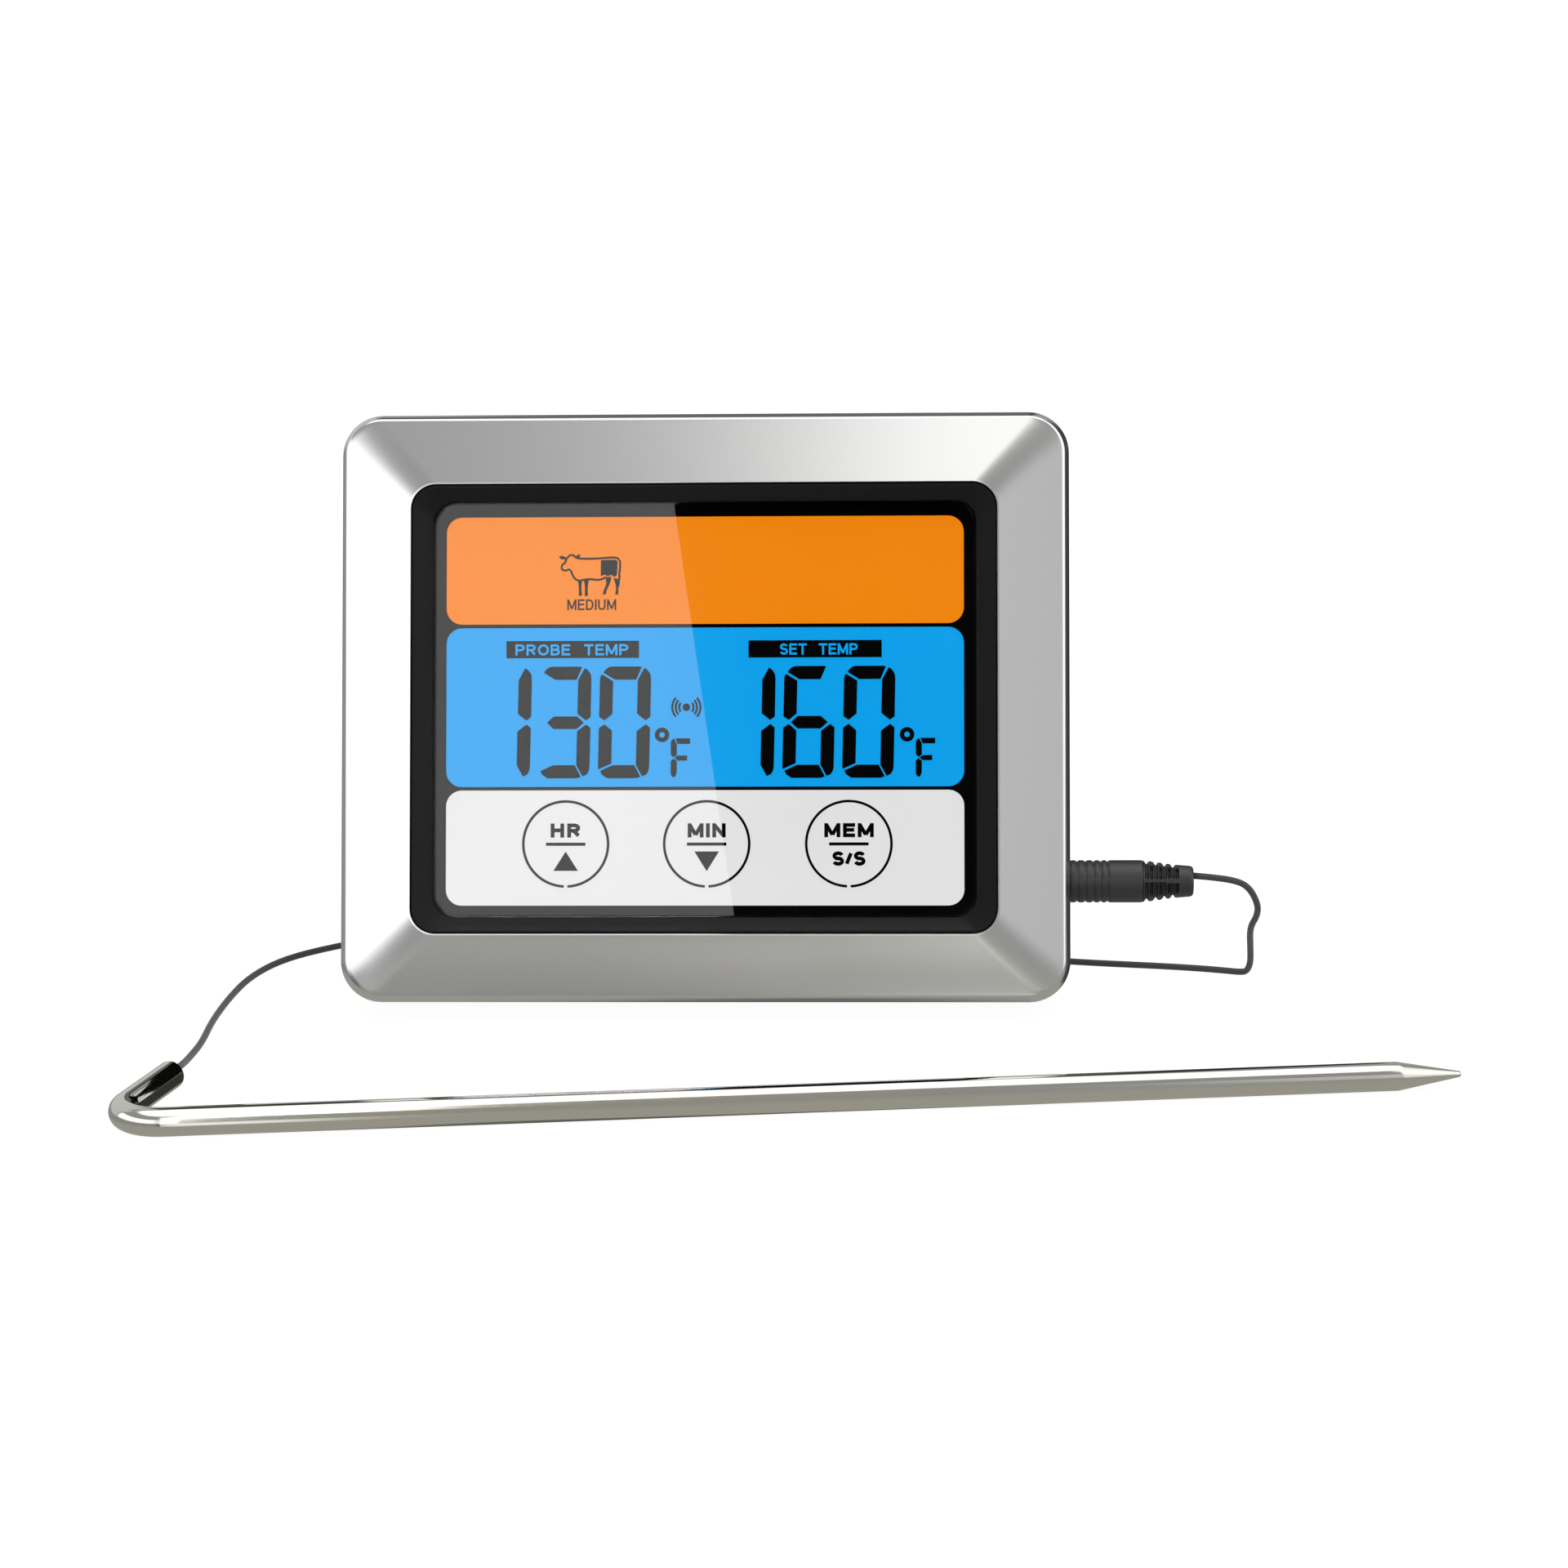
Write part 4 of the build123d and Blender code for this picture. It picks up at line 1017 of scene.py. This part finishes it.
def facing(middle, target, width, height):
    """Corners of an upright card at middle that faces target, both in desk mm."""
    middle, target = Vector(middle), Vector(target)
    ahead = (target - middle).normalized()
    side = Vector((0, 0, 1)).cross(ahead).normalized() * width / 2
    rise = ahead.cross(side).normalized() * height / 2
    return [desk(*(middle + a * side + b * rise)) for a, b in ((-1, -1), (1, -1), (1, 1), (-1, 1))]


def make_cards():
    """A black flag close in front of the window, so that one slanted part of it mirrors the bright wall and
    the rest stays dark; a small black one by the probe's short arm; a narrow light one before its bend."""
    black = (0.003, 0.003, 0.003)
    flag_y = GLASS_Y - FLAG_GAP
    outline = [(-5.2, 30.5), (37.0, 30.5), (37.0, -29.5), (3.6, -29.5)]
    stage_card("flag", [case(x, flag_y, z) for x, z in outline], black)
    stage_card("arm_flag", facing((-60.3, -33.0, 6.5), (-67.5, -45.6, 3.0), 10.0, 8.0), black)
    bend = facing((-60.0, -112.0, 17.0), (-62.4, -53.4, 2.2), 2.8, 26.0)
    stage_card("bend_light", bend, (0, 0, 0), 2.2)


# Parts of the world: brightness, azimuth and elevation ranges, and the softness of their edges, in degrees
WALLS = [
    (1.75, (-100, -9), (6, 31), 2, 4),           # wall on the left
    (1.05, (-12, 0), (6, 31), 2, 4),             # what the window mirrors
    (0.33, (2, 14), (-5, 36), 1, 3),
    (0.62, (18.5, 42), (6, 32), 2, 4),           # what the right facet mirrors
    (1.4, (42, 112), (-20, 60), 6, 6),           # wall on the right
]
BEHIND = [
    (0.62, (-200, -104), (-20, 50), 6, 6),       # behind, left
    (0.04, (118, 157), (-1, 30), 5, 4),          # behind, right: dark
    (0.4, (157, 172), (-5, 50), 2, 6),
    (0.02, (172, 177), (-5, 50), 1, 4),
    (0.15, (177, 200), (-5, 62), 1, 6),
    (0.15, (-200, -172), (-5, 62), 1, 6),
    (0.04, (-172, -164), (25, 55), 1, 4),
]
BELOW = [
    (0.38, (-400, 400), (-200, -20), 1, 5),
    (0.13, (177, 200), (-200, 0), 1, 6),         # below and behind, seen in the lower rim
    (0.13, (-200, -170), (-200, 0), 2, 6),
    (0.04, (118, 165), (-35, 2), 5, 4),          # seen in the right rim
]


def make_world():
    """Soft studio round the object, as brightness by direction: azimuth 0 is in front of the case, and to its
    left is negative. The camera sees plain white."""
    world = bpy.data.worlds.new("studio")
    bpy.context.scene.world = world
    world.use_nodes = True
    tree = world.node_tree
    tree.nodes.clear()
    nodes = Nodes(tree)
    way = nodes.add("ShaderNodeSeparateXYZ", Vector=nodes.add("ShaderNodeTexCoord").outputs["Generated"])
    x, y, z = way.outputs
    azimuth = nodes.math("DEGREES", nodes.math("ARCTAN2", x, nodes.math("MULTIPLY", y, -1.0)))
    elevation = nodes.math("DEGREES", nodes.math("ARCSINE", z))

    def add(a, b):
        return nodes.math("ADD", a, b)

    def times(a, b):
        return nodes.math("MULTIPLY", a, b)

    def rise(angle, low, high):
        return nodes.spread(angle, low, high)

    def fall(angle, low, high):
        return nodes.spread(angle, low, high, 1.0, 0.0)

    def lay(level, cards):
        """level, with each card laid over what came before it."""
        for brightness, az_range, el_range, az_soft, el_soft in cards:
            mask = 1.0
            for angle, (low, high), soft in ((azimuth, az_range, az_soft), (elevation, el_range, el_soft)):
                inside = times(rise(angle, low - soft, low + soft), fall(angle, high - soft, high + soft))
                mask = times(mask, inside)
            level = add(times(level, nodes.math("SUBTRACT", 1.0, mask)), times(mask, brightness))
        return level

    left_side = nodes.spread(azimuth, -5.0, 3.6, 0.34, 2.5)
    right_side = rise(azimuth, 4.0, 7.0)
    level = add(times(left_side, nodes.math("SUBTRACT", 1.0, right_side)), times(0.33, right_side))
    level = lay(level, WALLS)
    ceiling = nodes.spread(elevation, 56.0, 64.0, 0.0, 1.5)
    level = lay(add(times(level, fall(elevation, 56.0, 64.0)), ceiling), BEHIND)
    ground = add(nodes.spread(azimuth, -8.0, -4.5, 0.31, 0.16), rise(azimuth, -1.5, 2.0))
    ground = times(ground, nodes.spread(azimuth, 3.5, 5.5, 1.0, 0.31))
    level = add(times(level, rise(elevation, -2.0, 4.0)), times(ground, fall(elevation, -2.0, 4.0)))
    level = lay(level, BELOW)
    warm = times(times(rise(azimuth, 3.0, 5.0), fall(azimuth, 13.0, 17.0)), fall(elevation, 46.0, 56.0))
    warm = nodes.math("MAXIMUM", warm, fall(elevation, -22.0, -14.0))
    tint = nodes.blend(warm, (1, 1, 1, 1), (1.02, 1.0, 0.9, 1))
    studio = nodes.add("ShaderNodeBackground", Color=tint, Strength=level)
    backdrop = nodes.add("ShaderNodeBackground", Color=(1.0, 1.0, 1.0, 1), Strength=1.0)
    seen = nodes.add("ShaderNodeMixShader")
    nodes.put(seen.inputs[0], nodes.add("ShaderNodeLightPath").outputs["Is Camera Ray"])
    nodes.put(seen.inputs[1], studio.outputs[0])
    nodes.put(seen.inputs[2], backdrop.outputs[0])
    output = nodes.add("ShaderNodeOutputWorld")
    nodes.put(output.inputs["Surface"], seen.outputs[0])


def make_lamp():
    """Soft overhead box, aimed at the origin, that lights the floor and the dull surfaces."""
    light = bpy.data.lights.new("top_box", "AREA")
    light.shape = "DISK"
    light.size = 0.8
    light.energy = 7.0
    lamp = add_object("top_box", light)
    lamp.location = (0.05, -0.15, 0.9)
    lamp.rotation_mode = "QUATERNION"
    lamp.rotation_quaternion = (-lamp.location).to_track_quat("-Z", "Y")
    lamp.visible_glossy = False
    lamp.visible_camera = False


def make_camera():
    camera = bpy.data.cameras.new("camera")
    camera.lens = 91.31
    camera.sensor_width = 36.0
    camera.clip_start = 0.01
    camera.clip_end = 50.0
    holder = add_object("camera", camera)
    right = Vector((0.9991, 0.0400, -0.0116))
    up = Vector((0.0019, 0.2362, 0.9717))
    back = Vector((0.0416, -0.9709, 0.2359))
    turn = Matrix((right, up, back)).transposed()
    holder.matrix_world = Matrix.Translation(desk(32.22, -506.92, 153.49)) @ turn.to_4x4()
    bpy.context.scene.camera = holder
    bpy.context.scene.view_settings.view_transform = "Standard"


finish_cad_nodes()
make_front_shell()
make_black_ring()
make_window()
make_print()
make_marks()
make_plug_body()
make_relief()
make_tie()
make_cord()
make_probe()
make_floor()
make_cards()
make_world()
make_lamp()
make_camera()
